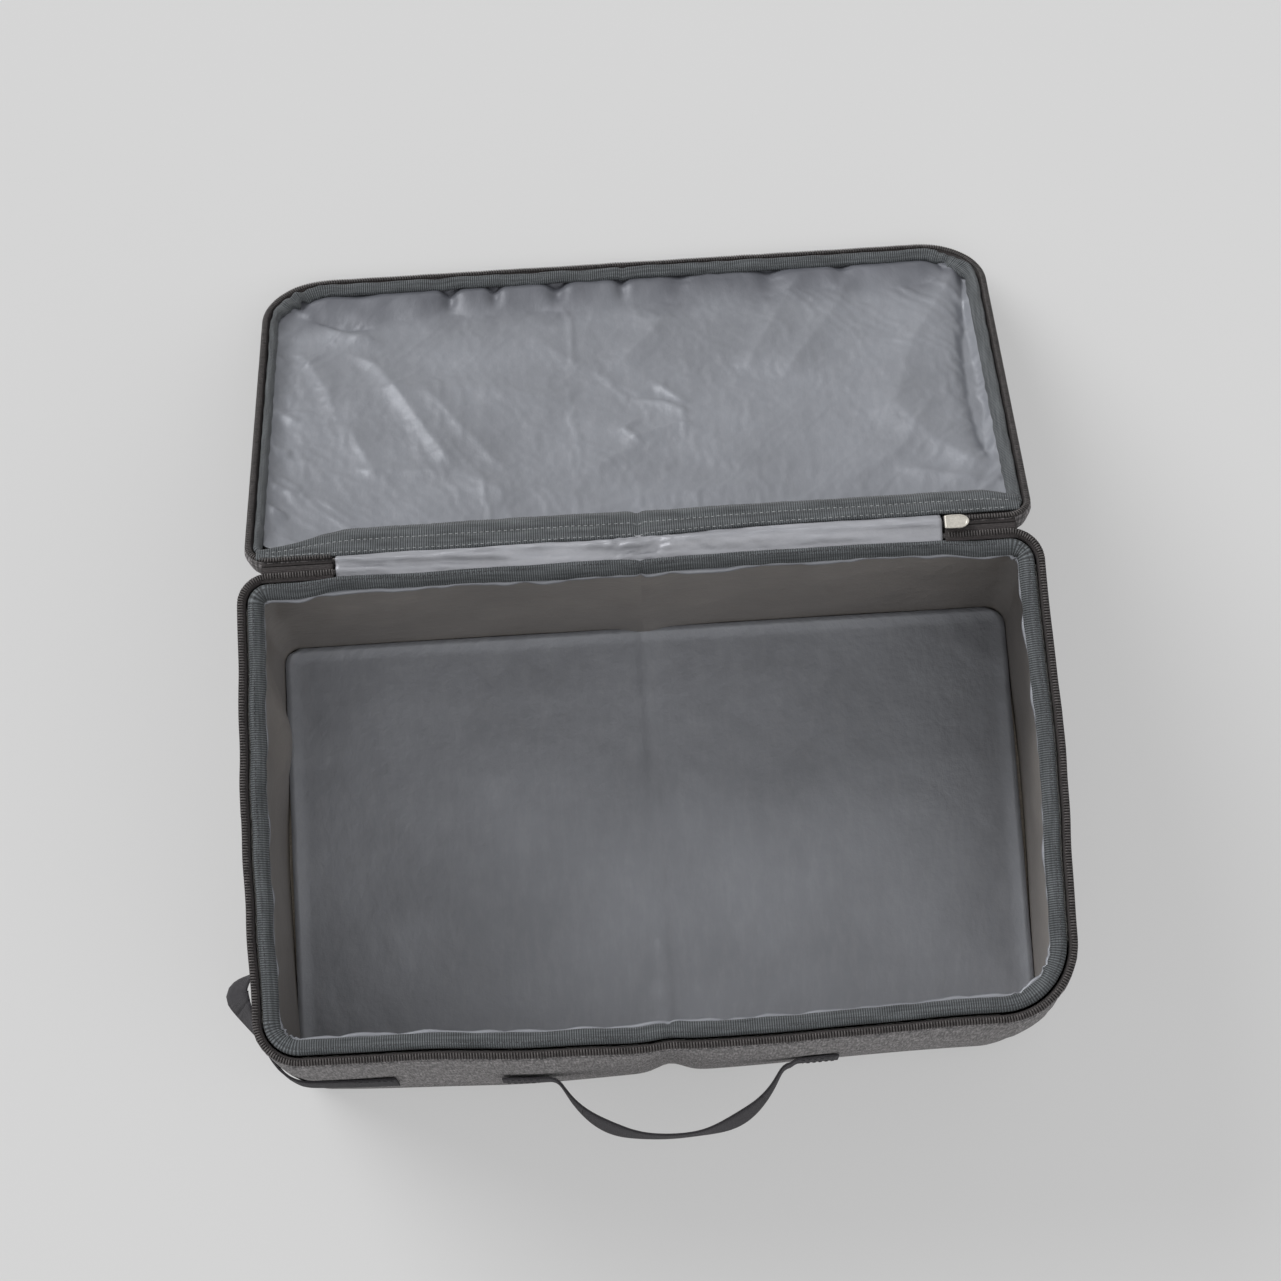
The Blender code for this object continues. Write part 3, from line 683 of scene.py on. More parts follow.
def lining_folds(distance, point, normal, _corner, height):
    """Inward folds of the wall lining, with the slack pocket near the back left corner."""
    up = height / WALL_TOP
    left = smooth(0.7, 0.95, -normal.x)
    right = smooth(0.7, 0.95, normal.x)
    pocket = 0.009 * left * bell(point.y, 0.062 + 0.05 * (up - 0.4), 0.02) * bell(up, 0.42, 0.26)
    drape = 0.0016 * (1.0 + wave(21, distance * 24.0, height * 5.0)) * sin(pi * up)
    streaks = 0.0016 * abs(wave(22, distance * 55.0 + height * 18.0, height * 7.0)) * smooth(0.1, 0.5, up)
    ridges = 0.002 * (0.4 + right) * abs(wave(23, distance * 38.0, height * 3.0)) * smooth(0.3, 0.8, up)
    gather = 0.0016 * abs(wave(24, distance * 120.0 + height * 60.0)) * smooth(0.72, 1.0, up)
    foot = 0.0006 * (1.0 - smooth(0.0, 0.06, up))
    return pocket + drape + streaks + ridges + gather + foot


def make_wall_layer(name, rows, thickness, look, slot, kind):
    """One cloth round the case."""
    item = thicken(lay_grid(name, rows, around=True), thickness, INWARDS)
    dress(item, "base", look, slot, *(f"{side}_{kind}" for side in ("front", "back", "left", "right")))
    fold_with_rim(item)


def make_walls():
    """The outer cloth, turned under the case at its foot, and the silver lining."""
    turn = [(BOTTOM_ROUND + 0.008, 0.0), (BOTTOM_ROUND + 0.003, 0.0)]
    for angle in spaced(0.0, pi / 2.0, 4):
        turn.append((BOTTOM_ROUND * (1.0 - sin(angle)), BOTTOM_ROUND * (1.0 - cos(angle))))
    section = turn + [(0.0, height) for height in spaced(BOTTOM_ROUND, WALL_TOP, 44)[1:]]
    rows = wall_rows(section, 0.0034, outer_folds)
    make_wall_layer("wall_cloth", rows, 0.6 * CLOTH, OUTER, "outer_cloth", "cloth")
    section = [(LINING_INSET, height) for height in spaced(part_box("front_lining")[0].z, WALL_TOP, 46)]
    rows = wall_rows(section, 0.0032, lining_folds)
    make_wall_layer("wall_lining", rows, LINING, SILVER_WALL_PAINTED_REFLECTION, "silver_lining", "lining")


def make_wall_foam():
    """The foam slabs between the wall's two cloths."""
    low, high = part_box("front_pad_left")[0].z, WALL_TOP - 0.0006
    outer, inner = 0.0017, 0.0053
    edge = 0.0008
    levels = spaced(low + edge, high - edge, 12)
    section = [(outer + edge, low), (inner - edge, low)] + [(inner, level) for level in levels]
    section += [(inner - edge, high), (outer + edge, high)] + [(outer, level) for level in levels[::-1]]
    starts = [length_of(CASE[:index]) for index in range(len(CASE) + 1)]
    half_gap = 0.0016
    front_middle = (starts[4] + starts[5]) / 2.0
    spans = (
        ("back_left", "back_pad_left", half_gap, starts[1]),
        ("left", "left_pad", starts[2], starts[3]),
        ("front_left", "front_pad_left", starts[4], front_middle - half_gap),
        ("front_right", "front_pad_right", front_middle + half_gap, starts[5]),
        ("right", "right_pad", starts[6], starts[7]),
        ("back_right", "back_pad_right", starts[8], starts[9] - half_gap),
    )
    for name, node, start, end in spans:
        item = lay_grid(f"wall_foam_{name}", wall_rows(section, 0.006, None, start, end), tube=True)
        dress(item, "base", FOAM, "foam", node)
        fold_with_rim(item)


make_wall_foam()
make_walls()


# The floor's boards, its lining and the underside

def panel_grid(name, half, front, back, radii, steps, height_at):
    """A grid over a rounded rectangle, its rows cut to the corners; height_at gives each point's height."""
    across, along = steps
    back_left, front_left, front_right, back_right = radii

    def reach(y, back_radius, front_radius):
        """How far a row reaches to one side."""
        cuts = [0.0]
        for radius, deep in ((back_radius, y - back + back_radius), (front_radius, front + front_radius - y)):
            if deep > 0.0:
                cuts.append(radius - sqrt(max(0.0, radius * radius - deep * deep)))
        return half - max(cuts)

    rows = []
    for y in spaced(front, back, along):
        left, right = -reach(y, back_left, front_left), reach(y, back_right, front_right)
        rows.append([Vector((x, y, height_at(x, y))) for x in spaced(left, right, across)])
    return lay_grid(name, rows)


def make_boards():
    """The floor's two stiff boards, cut to the walls' course."""
    low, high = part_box("base_board_left")[0].z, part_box("base_board_left")[1].z
    middle = length_of(CASE[:4]) + CASE[4][1] / 2.0
    inset, half_gap = 0.0066, 0.0016
    for side, sign, start, end in (("left", -1.0, 0.0, middle), ("right", 1.0, middle, CASE_LENGTH)):
        outline = []
        for _distance, point, normal, _corner in walk(CASE, 0.006, start, end):
            spot = point + normal * (wall_shift(point, normal, low) - inset)
            outline.append((sign * max(half_gap, sign * spot.x), spot.y))
        item = plate_from(f"floor_board_{side}", outline, low, high, 0.0003)
        item.data.set_sharp_from_angle(angle=radians(40.0))
        dress(item, "base", BOARD, "board", f"base_board_{side}")


def lay_panel(name, inset, steps, height_at, thickness, look, slot, node):
    """A cloth over the case's floor or under it."""
    half, depth = HALF_WIDTH - inset, HALF_DEPTH - inset
    radii = [radius - inset for radius in CORNER_RADII]
    item = thicken(panel_grid(name, half, -depth, depth, radii, steps, height_at), thickness, INWARDS)
    dress(item, "base", look, slot, node)


def make_base():
    """The lining over the floor's boards and the cloth under them, both creased where the case folds."""
    inset = 0.0068
    half, depth = HALF_WIDTH - inset, HALF_DEPTH - inset
    floor_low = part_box("floor_lining")[0].z + LINING

    def floor_height(x, y):
        crease = 0.0016 * bell(x, 0.0006 * sin(y * 34.0), 0.003)
        dips = 0.001 * (1.0 + wave(31, x * 16.0, y * 22.0))
        creases = 0.0007 * abs(wave(32, x * 55.0 + y * 22.0, y * 38.0))
        rise = 0.002 * (1.0 - smooth(0.0, 0.008, min(half - abs(x), depth - abs(y))))
        return floor_low + crease + dips + creases + rise

    def under_height(x, y):
        return 0.0003 + 0.0006 * bell(x, 0.0, 0.003) + 0.0003 * (1.0 + wave(33, x * 20.0, y * 20.0))

    lay_panel(
        "floor_lining_cloth", inset, (130, 80), floor_height, LINING, SILVER, "silver_lining", "floor_lining",
    )
    lay_panel(
        "underside_panel", BOTTOM_ROUND + 0.0042, (90, 56), under_height, 0.0007, UNDER, "outer_cloth",
        "bottom_cloth",
    )


make_boards()
make_base()


# The sewn rim: cloth band, zip and ribbed binding

def on_case(distance, inset, height):
    """A place on the case's wall, or over it at the rim."""
    point, normal, _corner = place_on(CASE, distance)
    out = wall_shift(point, normal, min(height, WALL_TOP)) - inset
    return Vector((*(point + normal * out), height))


def on_lid(distance, inset, height):
    """A place in the lid's own frame, which is turned into the world later."""
    point, normal, _corner = place_on(LID, distance)
    return Vector((*(point - normal * inset), height))


def hinge_share(distance):
    """1 along the hinge strip at the back, 0 elsewhere."""
    from_back = min(distance % CASE_LENGTH, -distance % CASE_LENGTH)
    return 1.0 - smooth(HINGE_HALF - 0.004, HINGE_HALF + 0.022, from_back)


def sew_tape(name, body, spacing, section_at, look, slot, *nodes, stretch=()):
    """A closed tape round the case or the lid, all the way or over one stretch."""
    outline, place = (LID, on_lid) if body == "lid" else (CASE, on_case)
    rows = []
    for distance, _point, _normal, corner in walk(outline, spacing, *stretch):
        rows.append([place(distance, inset, height) for inset, height in section_at(distance, corner)])
    item = lay_grid(name, rows, around=not stretch, tube=True)
    dress(onto_lid(item) if body == "lid" else item, body, look, slot, *nodes)


def rim_binding_section(distance, corner):
    """Folded ribbed tape: a root on the wall and a soft flap that leans inwards."""
    back = hinge_share(distance)
    x = place_on(CASE, distance)[0].x
    rough = 0.4 + 0.9 * abs(wave(48, distance * 17.0))
    flutter = 0.0009 * rough * wave(41, distance * 105.0) + 0.0016 * corner * wave(42, distance * 260.0)
    lift = 0.0006 * rough * wave(43, distance * 60.0) + 0.0009 * corner * wave(44, distance * 230.0)
    outer_slide = -0.0016 * back
    inner_slide = (-0.0029 + 0.0018 * bell(x, -0.041, 0.035)) * back
    nick = bell(x, 0.0, 0.0016)
    top = RIM_TOP - 0.0005 + lift - 0.0014 * nick
    reach = 0.0136 + flutter - 0.001 * nick
    flap = (
        (0.0056, -0.0036), (0.0051, -0.0018), (0.0058, -0.0005), (0.0074, 0.0002), (0.0094, -0.0002),
        (0.0114, -0.0012), (reach - 0.0008, -0.0026), (reach, -0.004), (reach - 0.0002, -0.0054),
        (reach - 0.0014, -0.0056), (0.0098, -0.0044),
    )
    low = RIM_BASE + 0.0003
    section = []
    for inset, rise in flap:
        share = smooth(0.005, 0.0125, inset)
        section.append((inset + outer_slide + (inner_slide - outer_slide) * share, top + rise))
    return section + [(0.0069, top - 0.0044), (0.0066, low), (0.0057, low)]


def lining_edge_section(distance, corner):
    """The lining's turned edge, which shows as a thin bright line inside the binding."""
    inner, top = rim_binding_section(distance, corner)[7]
    y = place_on(CASE, distance)[0].y
    shown = 0.0012 * smooth(-0.1, -0.125, y) + 0.001 * smooth(0.1, 0.125, y)
    loose = 0.0036 * abs(wave(49, distance * 34.0)) + 0.0008 * wave(50, distance * 110.0)
    out, height = inner - 0.0018 + shown + loose, top - 0.0016
    turn = (
        (-0.003, 0.0), (0.0, 0.0006), (0.001, 0.0002), (0.0013, -0.0008), (0.0008, -0.0018),
        (-0.0004, -0.002), (-0.003, -0.0016),
    )
    return [(out + a, height + b) for a, b in turn]


def rim_band_section(distance, corner):
    """The outer cloth's top band, turned in under the zip."""
    out = -0.0006 + 0.0004 * wave(46, distance * 170.0) * (0.4 + corner)
    turn = (
        (0.0004, 0.0), (out, 0.0012), (out - 0.0003, 0.004), (out, 0.0066), (0.0006, 0.0074), (0.002, 0.0074),
        (0.0026, 0.005), (0.0026, 0.004), (0.0016, 0.0052), (0.0013, 0.0036), (0.0014, 0.0),
    )
    return [(inset, RIM_BASE + rise) for inset, rise in turn]


def zip_tooth(centre, across, up, along):
    """One turn of a nylon coil: a low arch across the tape."""
    width, height, thick = 0.0015, 0.0011, 0.00034
    course = [(-1.0, -0.1), (-0.92, 0.6), (-0.4, 0.98), (0.4, 0.98), (0.92, 0.6), (1.0, -0.1)]
    sides = 5
    points = []
    for a, b in course:
        middle = centre + across * width * a + up * height * b
        tilt = atan2(b, a)
        outward = across * cos(tilt) + up * sin(tilt)
        for turn in range(sides):
            angle = 2.0 * pi * turn / sides
            points.append(middle + (outward * cos(angle) + along * sin(angle) * 1.35) * thick)
    ends = [tuple(range(sides)), tuple(range(len(points) - sides, len(points)))]
    return points, ring_faces(len(course), sides) + ends


def sew_zip(body, names, top, reach, seed, start, end, inset, nodes):
    """A zip's tape over the edge of the case or the lid, and its coil's teeth."""
    place = on_lid if body == "lid" else on_case

    def tape_height(distance):
        return top + 0.0003 * wave(seed, distance * 90.0)

    def tape_section(distance, _corner):
        low = tape_height(distance)
        turn = (
            (-0.0008, 0.0), (0.0, -0.0024), (0.0, -0.004), (0.0006, -0.004), (0.0007, -0.002),
            (-0.0002, 0.0006),
        )
        inner = [(reach + inset, low + rise) for inset, rise in turn]
        return [(-0.0005, low)] + inner + [(-0.0005, low + 0.0007)]

    sew_tape(names[0], body, 0.004, tape_section, TAPE, "zip_tape", nodes[0], stretch=(start, end))
    teeth = []
    for distance in spaced(start, end, int((end - start) / TOOTH_PITCH))[:-1]:
        height = tape_height(distance) + 0.0006
        here = place(distance, inset, height)
        outer = place(distance, inset - 0.001, height)
        above = place(distance, inset, height + 0.001)
        ahead = place(distance + 0.0005, inset, height)
        teeth.append(zip_tooth(here, *((spot - here).normalized() for spot in (outer, above, ahead))))
    item = small_parts(names[1], teeth)
    dress(onto_lid(item) if body == "lid" else item, body, COIL, "zip_coil", nodes[1])


def make_rim():
    """The cloth band, the ribbed binding over it, the zip and two rows of stitches."""
    sew_tape("rim_cloth_band", "rim", 0.003, rim_band_section, OUTER, "outer_cloth", "rim_cloth")
    sew_tape("rim_ribbed_binding", "rim", 0.0022, rim_binding_section, BINDING, "binding", "rim_binding")
    sew_tape("rim_lining_edge", "rim", 0.0026, lining_edge_section, SILVER, "silver_lining")
    start, end = HINGE_HALF + 0.002, CASE_LENGTH - HINGE_HALF - 0.002
    names, nodes = ("rim_zip_tape", "rim_zip_teeth"), ("case_zip_tape", "case_zip_coil")
    sew_zip("rim", names, RIM_TOP - 0.0019, 0.0034, 47, start, end, 0.0012, nodes)
    steps = evenly(0.0, CASE_LENGTH, 0.004)
    upper = [on_case(step, 0.008 - 0.002 * hinge_share(step), RIM_TOP - 0.0004) for step in steps]
    lower = [on_case(step, -0.0007, RIM_BASE + 0.0018) for step in steps]
    shapes = stitch_line(upper)
    shapes += stitch_line(lower, lambda point: Vector((point.x, point.y * 1.6, 0.0)).normalized())
    dress(small_parts("rim_stitches", shapes), "rim", DARK_THREAD, "binding")


make_rim()


# The lid

LID_RADII = (LID_FAR_RADIUS, LID_NEAR_RADIUS, LID_NEAR_RADIUS, LID_FAR_RADIUS)
LID = rounded_outline(LID_HALF, LID_NEAR, LID_FAR, LID_RADII)
LID_HALFWAY = length_of(LID) / 2.0
LID_ZIP_END = LID_HALFWAY - HINGE_HALF - 0.002


def make_lid_shell():
    """Gusset and padded panel as one cloth, crowned between its creases."""
    upright = spaced(LID_TOP - 0.0024, LID_FLOOR + LID_ROUND, 5)
    section = [(0.0, height) for height in upright]
    for angle in spaced(0.0, pi / 2.0, 6)[1:]:
        section.append((LID_ROUND * (1.0 - cos(angle)), LID_FLOOR + LID_ROUND * (1.0 - sin(angle))))
    middle_y = (LID_NEAR + LID_FAR) / 2.0
    rows = []
    for distance, point, normal, _corner in walk(LID, 0.0036):
        row = []
        for k, (inset, height) in enumerate(section):
            ripple = 0.0006 * wave(51, distance * 60.0, height * 50.0) * sin(pi * k / len(section))
            bulge = 0.0012 * sin(pi * min(1.0, k / 6.0))
            row.append(Vector((*(point - normal * (inset - bulge - ripple)), height)))
        edge = point - normal * LID_ROUND
        centre = Vector((edge.x * 0.42, middle_y))
        for share in spaced(0.0, 1.0, 26)[1:]:
            spot = edge.lerp(centre, share)
            crown = 0.003 * smooth(0.0, 0.35, share)
            crease = min(0.0026, crown + 0.0005) * bell(spot.x, 0.0, 0.004) * smooth(0.0, 0.06, share)
            slack = 0.0007 * wave(52, spot.x * 26.0, spot.y * 26.0) * smooth(0.0, 0.1, share)
            row.append(Vector((*spot, LID_FLOOR - crown + crease + slack)))
        rows.append(row)
    item = lay_grid("lid_cloth", rows, around=True)
    work = bmesh.new()
    work.from_mesh(item.data)
    bmesh.ops.remove_doubles(work, verts=work.verts, dist=0.00002)
    inner = [edge for edge in work.edges if edge.is_boundary and edge.verts[0].co.z < LID_FLOOR + 0.004]
    bmesh.ops.holes_fill(work, edges=inner, sides=0)
    work.to_mesh(item.data)
    work.free()
    straight_weave(thicken(item, CLOTH, OUTWARDS))
    dress(onto_lid(item), "lid", OUTER, "outer_cloth", "lid_gusset_cloth", "lid_panel_cloth")


def make_lid_foam():
    """Two foam pads, parted where the lid folds."""
    low, high = LID_FLOOR + 0.0014, LID_FLOOR + 0.0056
    inner, outer = 0.0018, LID_HALF - LID_ROUND - 0.0006
    near, far = LID_NEAR + LID_ROUND + 0.0006, LID_FAR - LID_ROUND - 0.0006
    radius = LID_FAR_RADIUS - LID_ROUND
    for side, sign in (("left", -1.0), ("right", 1.0)):
        rows = []
        for y in spaced(near, far, 30):
            deep = max(0.0, y - (far - radius))
            reach = outer - (radius - sqrt(max(0.0, radius ** 2 - deep ** 2)))
            row = []
            for x in spaced(inner, reach, 24):
                row.append(Vector((sign * x, y, high - 0.0006 * bell(x, inner, 0.004))))
            rows.append(row)
        item = thicken(lay_grid(f"lid_foam_{side}", rows), high - low, sign)
        dress(onto_lid(item), "lid", FOAM, "foam", f"lid_pad_{side}")


make_lid_foam()
make_lid_shell()


def lid_binding_section(distance, corner):
    """The gathered binding along the lid's far edge and its two sides."""
    point = place_on(LID, distance)[0]
    far_share = smooth(LID_FAR - 0.034, LID_FAR - 0.01, point.y)
    deep = corner * smooth(0.15, 0.2, point.y)
    gather = 0.4 + 0.6 * abs(wave(68, distance * 14.0))
    flutter = 0.0018 * gather * wave(61, distance * 130.0) + 0.0034 * deep * wave(62, distance * 190.0)
    lift = 0.0013 * gather * wave(63, distance * 100.0) + 0.0024 * deep * wave(64, distance * 170.0)
    top = LID_TOP - 0.0012 + lift - 0.0012 * bell(point.x, 0.0, 0.0016)
    end = 0.0086 + 0.0028 * far_share + 0.0026 * smooth(0.0, 0.2, point.x) * (1.0 - far_share) + flutter
    start = 0.0043 + 0.0012 * gather * wave(65, distance * 85.0) + 0.0018 * deep * wave(66, distance * 200.0)
    turn = (
        (start, -0.0026), (start - 0.0004, -0.0012), (start + 0.0004, 0.0), (start + 0.0014, 0.0004),
        (start + 0.0026, -0.0002), (end - 0.0006, -0.002), (end, -0.0034), (end - 0.0004, -0.0046),
        (end - 0.0018, -0.0042), (start + 0.0018, -0.0028),
    )
    return [(inset, top + rise) for inset, rise in turn]


def make_lid_edges():
    """The gathered binding, which stops where the wide hem takes over, and the lid's half of the zip."""
    half_hem = 0.202
    stretch = (half_hem - LID_HALFWAY, LID_HALFWAY - half_hem)
    look = (BINDING, "binding", "lid_binding")
    sew_tape("lid_gathered_binding", "lid", 0.0018, lid_binding_section, *look, stretch=stretch)
    names, nodes = ("lid_zip_tape_run", "lid_zip_teeth"), ("lid_zip_tape", "lid_zip_coil")
    sew_zip("lid", names, LID_TOP - 0.0026, 0.0028, 67, -LID_ZIP_END, LID_ZIP_END, 0.001, nodes)


HEM_SEAM_SHARE = 0.46


def hem_point(x, share, lift=0.0):
    """A place on the wide hem by the hinge: crowned on both sides of its stitch line."""
    near, far = hem_edges(x)
    crown = 0.0011 * (1.0 - (2.0 * share - 1.0) ** 2)
    seam = 0.0007 * bell(share, HEM_SEAM_SHARE, 0.07)
    nick = 0.0016 * bell(x, 0.0, 0.0022)
    pucker = 0.00035 * wave(73, x * 190.0, share * 4.0)
    height = LID_TOP - 0.0018 + crown - seam - nick + pucker - 0.002 * smooth(0.75, 1.0, share)
    return Vector((x, near + (far - near) * share, height + lift))


def hem_edges(x):
    """The near hem's two edges along the lid, at a place across it."""
    left, right = smooth(-0.15, -0.205, x), smooth(0.185, 0.206, x)
    near = 0.0062 + 0.0004 * wave(71, x * 60.0) + 0.004 * smooth(-0.02, 0.08, x)
    far = 0.0308 + 0.0007 * wave(72, x * 26.0) - 0.015 * left - 0.006 * right
    return near, far


def make_hem():
    """The wide ribbed hem between the lid's lining and the hinge strip."""
    rows = [[hem_point(x, share) for share in spaced(0.0, 1.0, 14)] for x in evenly(-0.2052, 0.2052, 0.002)]
    item = thicken(lay_grid("lid_ribbed_hem", rows), 0.0011, BOTH_WAYS)
    dress(onto_lid(item), "lid", BINDING, "binding", "lid_binding")
    steps = evenly(-0.199, 0.199, 0.004)
    seam = [hem_point(x, HEM_SEAM_SHARE, 0.0007) for x in steps]
    edge = [Vector((x, hem_edges(x)[0] + 0.0016, hem_point(x, 0.08, 0.0006).z)) for x in steps]
    item = small_parts("lid_hem_stitches", stitch_line(seam) + stitch_line(edge))
    dress(onto_lid(item), "lid", PALE_THREAD, "binding")


LINING_EDGE = 0.0078
LINING_NEAR = 0.02
LINING_FAR = LID_FAR - LINING_EDGE
LINING_HALF = LID_HALF - LINING_EDGE
LINING_SUNK = 0.0056
FOAM_TOP = LID_FLOOR + 0.0056

# The lining's larger folds: a course on the lid (x, t), its height, and how far it spreads to either side
LINING_FOLDS = (
    (((-0.16, 0.2), (-0.1454, 0.1853), (-0.0995, 0.0841)), 0.0028, 0.012, 0.005),
    (((-0.0995, 0.0841), (-0.0638, 0.0538)), 0.002, 0.008, 0.014),
    (((-0.121, 0.1644), (-0.0685, 0.0765)), 0.0017, 0.009, 0.006),
    (((-0.162, 0.1373), (-0.141, 0.0756)), 0.0015, 0.007, 0.004),
    (((-0.1896, 0.2076), (-0.1718, 0.161), (-0.166, 0.135)), 0.002, 0.01, 0.005),
    (((-0.1981, 0.2467), (-0.1654, 0.217), (-0.14, 0.206)), 0.0038, 0.007, 0.01),
    (((-0.196, 0.239), (-0.1645, 0.2259), (-0.145, 0.225)), -0.003, 0.004, 0.006),
    (((-0.165, 0.166), (-0.1369, 0.16), (-0.0786, 0.156), (-0.0311, 0.139)), 0.0024, 0.012, 0.03),
    (((-0.165, 0.089), (-0.1334, 0.0874), (-0.0995, 0.0841)), 0.001, 0.006, 0.004),
    (((-0.06, 0.21), (-0.0095, 0.1568), (0.0139, 0.14)), 0.0011, 0.008, 0.006),
    (((-0.0095, 0.1668), (0.0139, 0.2002), (0.026, 0.224)), 0.0022, 0.007, 0.011),
    (((-0.03, 0.076), (-0.009, 0.0877), (0.007, 0.0989)), 0.0016, 0.004, 0.007),
    (((0.0002, 0.1406), (0.02, 0.134), (0.035, 0.1229)), 0.0024, 0.003, 0.006),
    (((0.0116, 0.1575), (0.0327, 0.1325)), 0.002, 0.005, 0.003),
    (((-0.0069, 0.1003), (0.0267, 0.1144), (0.042, 0.112)), 0.0018, 0.003, 0.006),
    (((0.005, 0.124), (-0.004, 0.112), (0.006, 0.098)), 0.0015, 0.003, 0.004),
    (((0.1083, 0.25), (0.0983, 0.2357), (0.0647, 0.1569)), 0.0024, 0.012, 0.008),
    (((0.1336, 0.25), (0.125, 0.22), (0.0865, 0.1498)), 0.0022, 0.009, 0.013),
    (((0.2, 0.248), (0.1931, 0.2358), (0.1642, 0.1757), (0.1487, 0.116), (0.166, 0.0829), (0.1972, 0.051)),
     0.0044, 0.03, 0.016),
    (((0.201, 0.25), (0.1983, 0.2302), (0.193, 0.1627), (0.1925, 0.0929), (0.196, 0.06)),
     -0.004, 0.007, 0.005),
    (((0.1425, 0.0627), (0.1889, 0.0457), (0.2, 0.044)), 0.0022, 0.004, 0.009),
    (((0.11, 0.048), (0.15, 0.08), (0.172, 0.125)), 0.0013, 0.01, 0.006),
    (((-0.203, 0.148), (-0.1869, 0.137)), 0.0019, 0.003, 0.004),
    (((-0.203, 0.079), (-0.1845, 0.071)), 0.0019, 0.003, 0.004),
    (((-0.203, 0.112), (-0.19, 0.11)), 0.0016, 0.003, 0.004),
    (((-0.203, 0.06), (-0.19, 0.05)), 0.0016, 0.003, 0.004),
    (((-0.04, 0.036), (0.01, 0.052), (0.07, 0.056)), 0.0012, 0.006, 0.012),
)
# Where the cloth is drawn in under the far binding: the place across, the depth and the width
FAR_PUCKERS = (
    (-0.156, 0.0012, 0.009), (-0.1024, 0.0046, 0.0044), (-0.076, 0.0038, 0.0036), (-0.0393, 0.0044, 0.0052),
    (-0.001, 0.003, 0.0034), (0.033, 0.0016, 0.006), (0.086, 0.0024, 0.007), (0.129, 0.0018, 0.005),
)


def fold_height(x, t, course, height, one_side, other_side):
    """A creased fold along a course: sharp at its top, and fading out towards both ends."""
    best, side, travelled, at = 1.0, 1.0, 0.0, 0.0
    for (ax, ay), (bx, by) in zip(course, course[1:]):
        run = hypot(bx - ax, by - ay)
        ux, uy = (bx - ax) / run, (by - ay) / run
        along = min(run, max(0.0, (x - ax) * ux + (t - ay) * uy))
        away = hypot(x - ax - ux * along, t - ay - uy * along)
        if away < best:
            best, at = away, travelled + along
            side = ux * (t - ay) - uy * (x - ax)
        travelled += run
    if best > 0.09:
        return 0.0
    spread = one_side if side > 0.0 else other_side
    tip = min(0.018, travelled * 0.35)
    fade = smooth(-0.2 * tip, tip, at) * smooth(-0.2 * tip, tip, travelled - at)
    return height * fade * exp(-((best / spread) ** 1.3))


def lining_margin(x, t):
    """How far a place on the lid's lining is from its nearest edge."""
    return min(LINING_HALF - abs(x), t - LINING_NEAR, LINING_FAR - t)


def lining_start(x, t):
    """The lid lining's height before it falls: slack that is gathered at its edge."""
    margin = lining_margin(x, t)
    waves = 0.0022 * wave(82, (x * 0.5 + t * 0.86) * 26.0, (x * 0.86 - t * 0.5) * 11.0)
    puckers = 0.0016 * wave(83, x * 85.0, t * 85.0) * bell(margin, 0.008, 0.014)
    return LID_TOP - LINING_SUNK + waves * smooth(0.0, 0.03, margin) + puckers * smooth(0.0, 0.004, margin)


def lining_folds_at(x, t, margin):
    """What the lining's folds add to its fallen shape."""
    total = 1.25 * sum(fold_height(x, t, *fold) for fold in LINING_FOLDS)
    swell = 0.0012 + 0.0015 * wave(84, x * 15.0, t * 17.0) + 0.0006 * wave(85, x * 48.0 + t * 20.0, t * 40.0)
    fine = 0.0003 * abs(wave(86, (x + t * 0.7) * 70.0, (t - x * 0.4) * 90.0))
    return (total + swell * smooth(0.0, 0.02, margin) + fine) * smooth(0.0, 0.006, margin)


def far_hang(x, t):
    """How high the lining hangs over the foam along the lid's far edge, drawn into pockets."""
    low = 0.229 + 0.006 * wave(87, x * 22.0) + 0.004 * wave(88, x * 70.0)
    crest, end = 0.2475, 0.0068
    height = 0.0078 * (1.0 - 0.35 * bell(x, 0.06, 0.06))
    if t < crest:
        hang = height * max(0.0, (t - low) / (crest - low)) ** 1.1
    else:
        hang = end + (height - end) * (1.0 - smooth(crest, 0.254, t))
    pocket = sum(depth * bell(x, place, width) for place, depth, width in FAR_PUCKERS)
    return (hang - pocket * smooth(0.232, 0.246, t)) * smooth(0.0, 0.03, LINING_HALF - abs(x))


def make_lid_lining():
    """The slack silver lining, sewn down at its edge and fallen onto the foam."""
    far_radius, near_radius = LID_FAR_RADIUS - LINING_EDGE, 0.006
    radii = (far_radius, near_radius, near_radius, far_radius)
    grid = ((168, 100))
    item = panel_grid("lid_lining_cloth", LINING_HALF, LINING_NEAR, LINING_FAR, radii, grid, lining_start)
    onto_lid(item)
    let_fall(item, grid)
    item.modifiers.new("smooth", "SUBSURF").levels = 1
    settle(item)
    lower = LID_FRAME.inverted()
    least = FOAM_TOP + 0.0003
    for vertex in item.data.vertices:
        place = lower @ vertex.co
        margin = lining_margin(place.x, place.y)
        if place.y > 0.22 and margin > 0.001:
            place.z = max(place.z, FOAM_TOP + far_hang(place.x, place.y))
        place.z += lining_folds_at(place.x, place.y, margin)
        place.z = min(max(place.z, least), LID_TOP - 0.0012)
        vertex.co = LID_FRAME @ place
    dress(thicken(item, 0.0004, BOTH_WAYS), "lid", SILVER_LID, "silver_lining", "lid_lining")


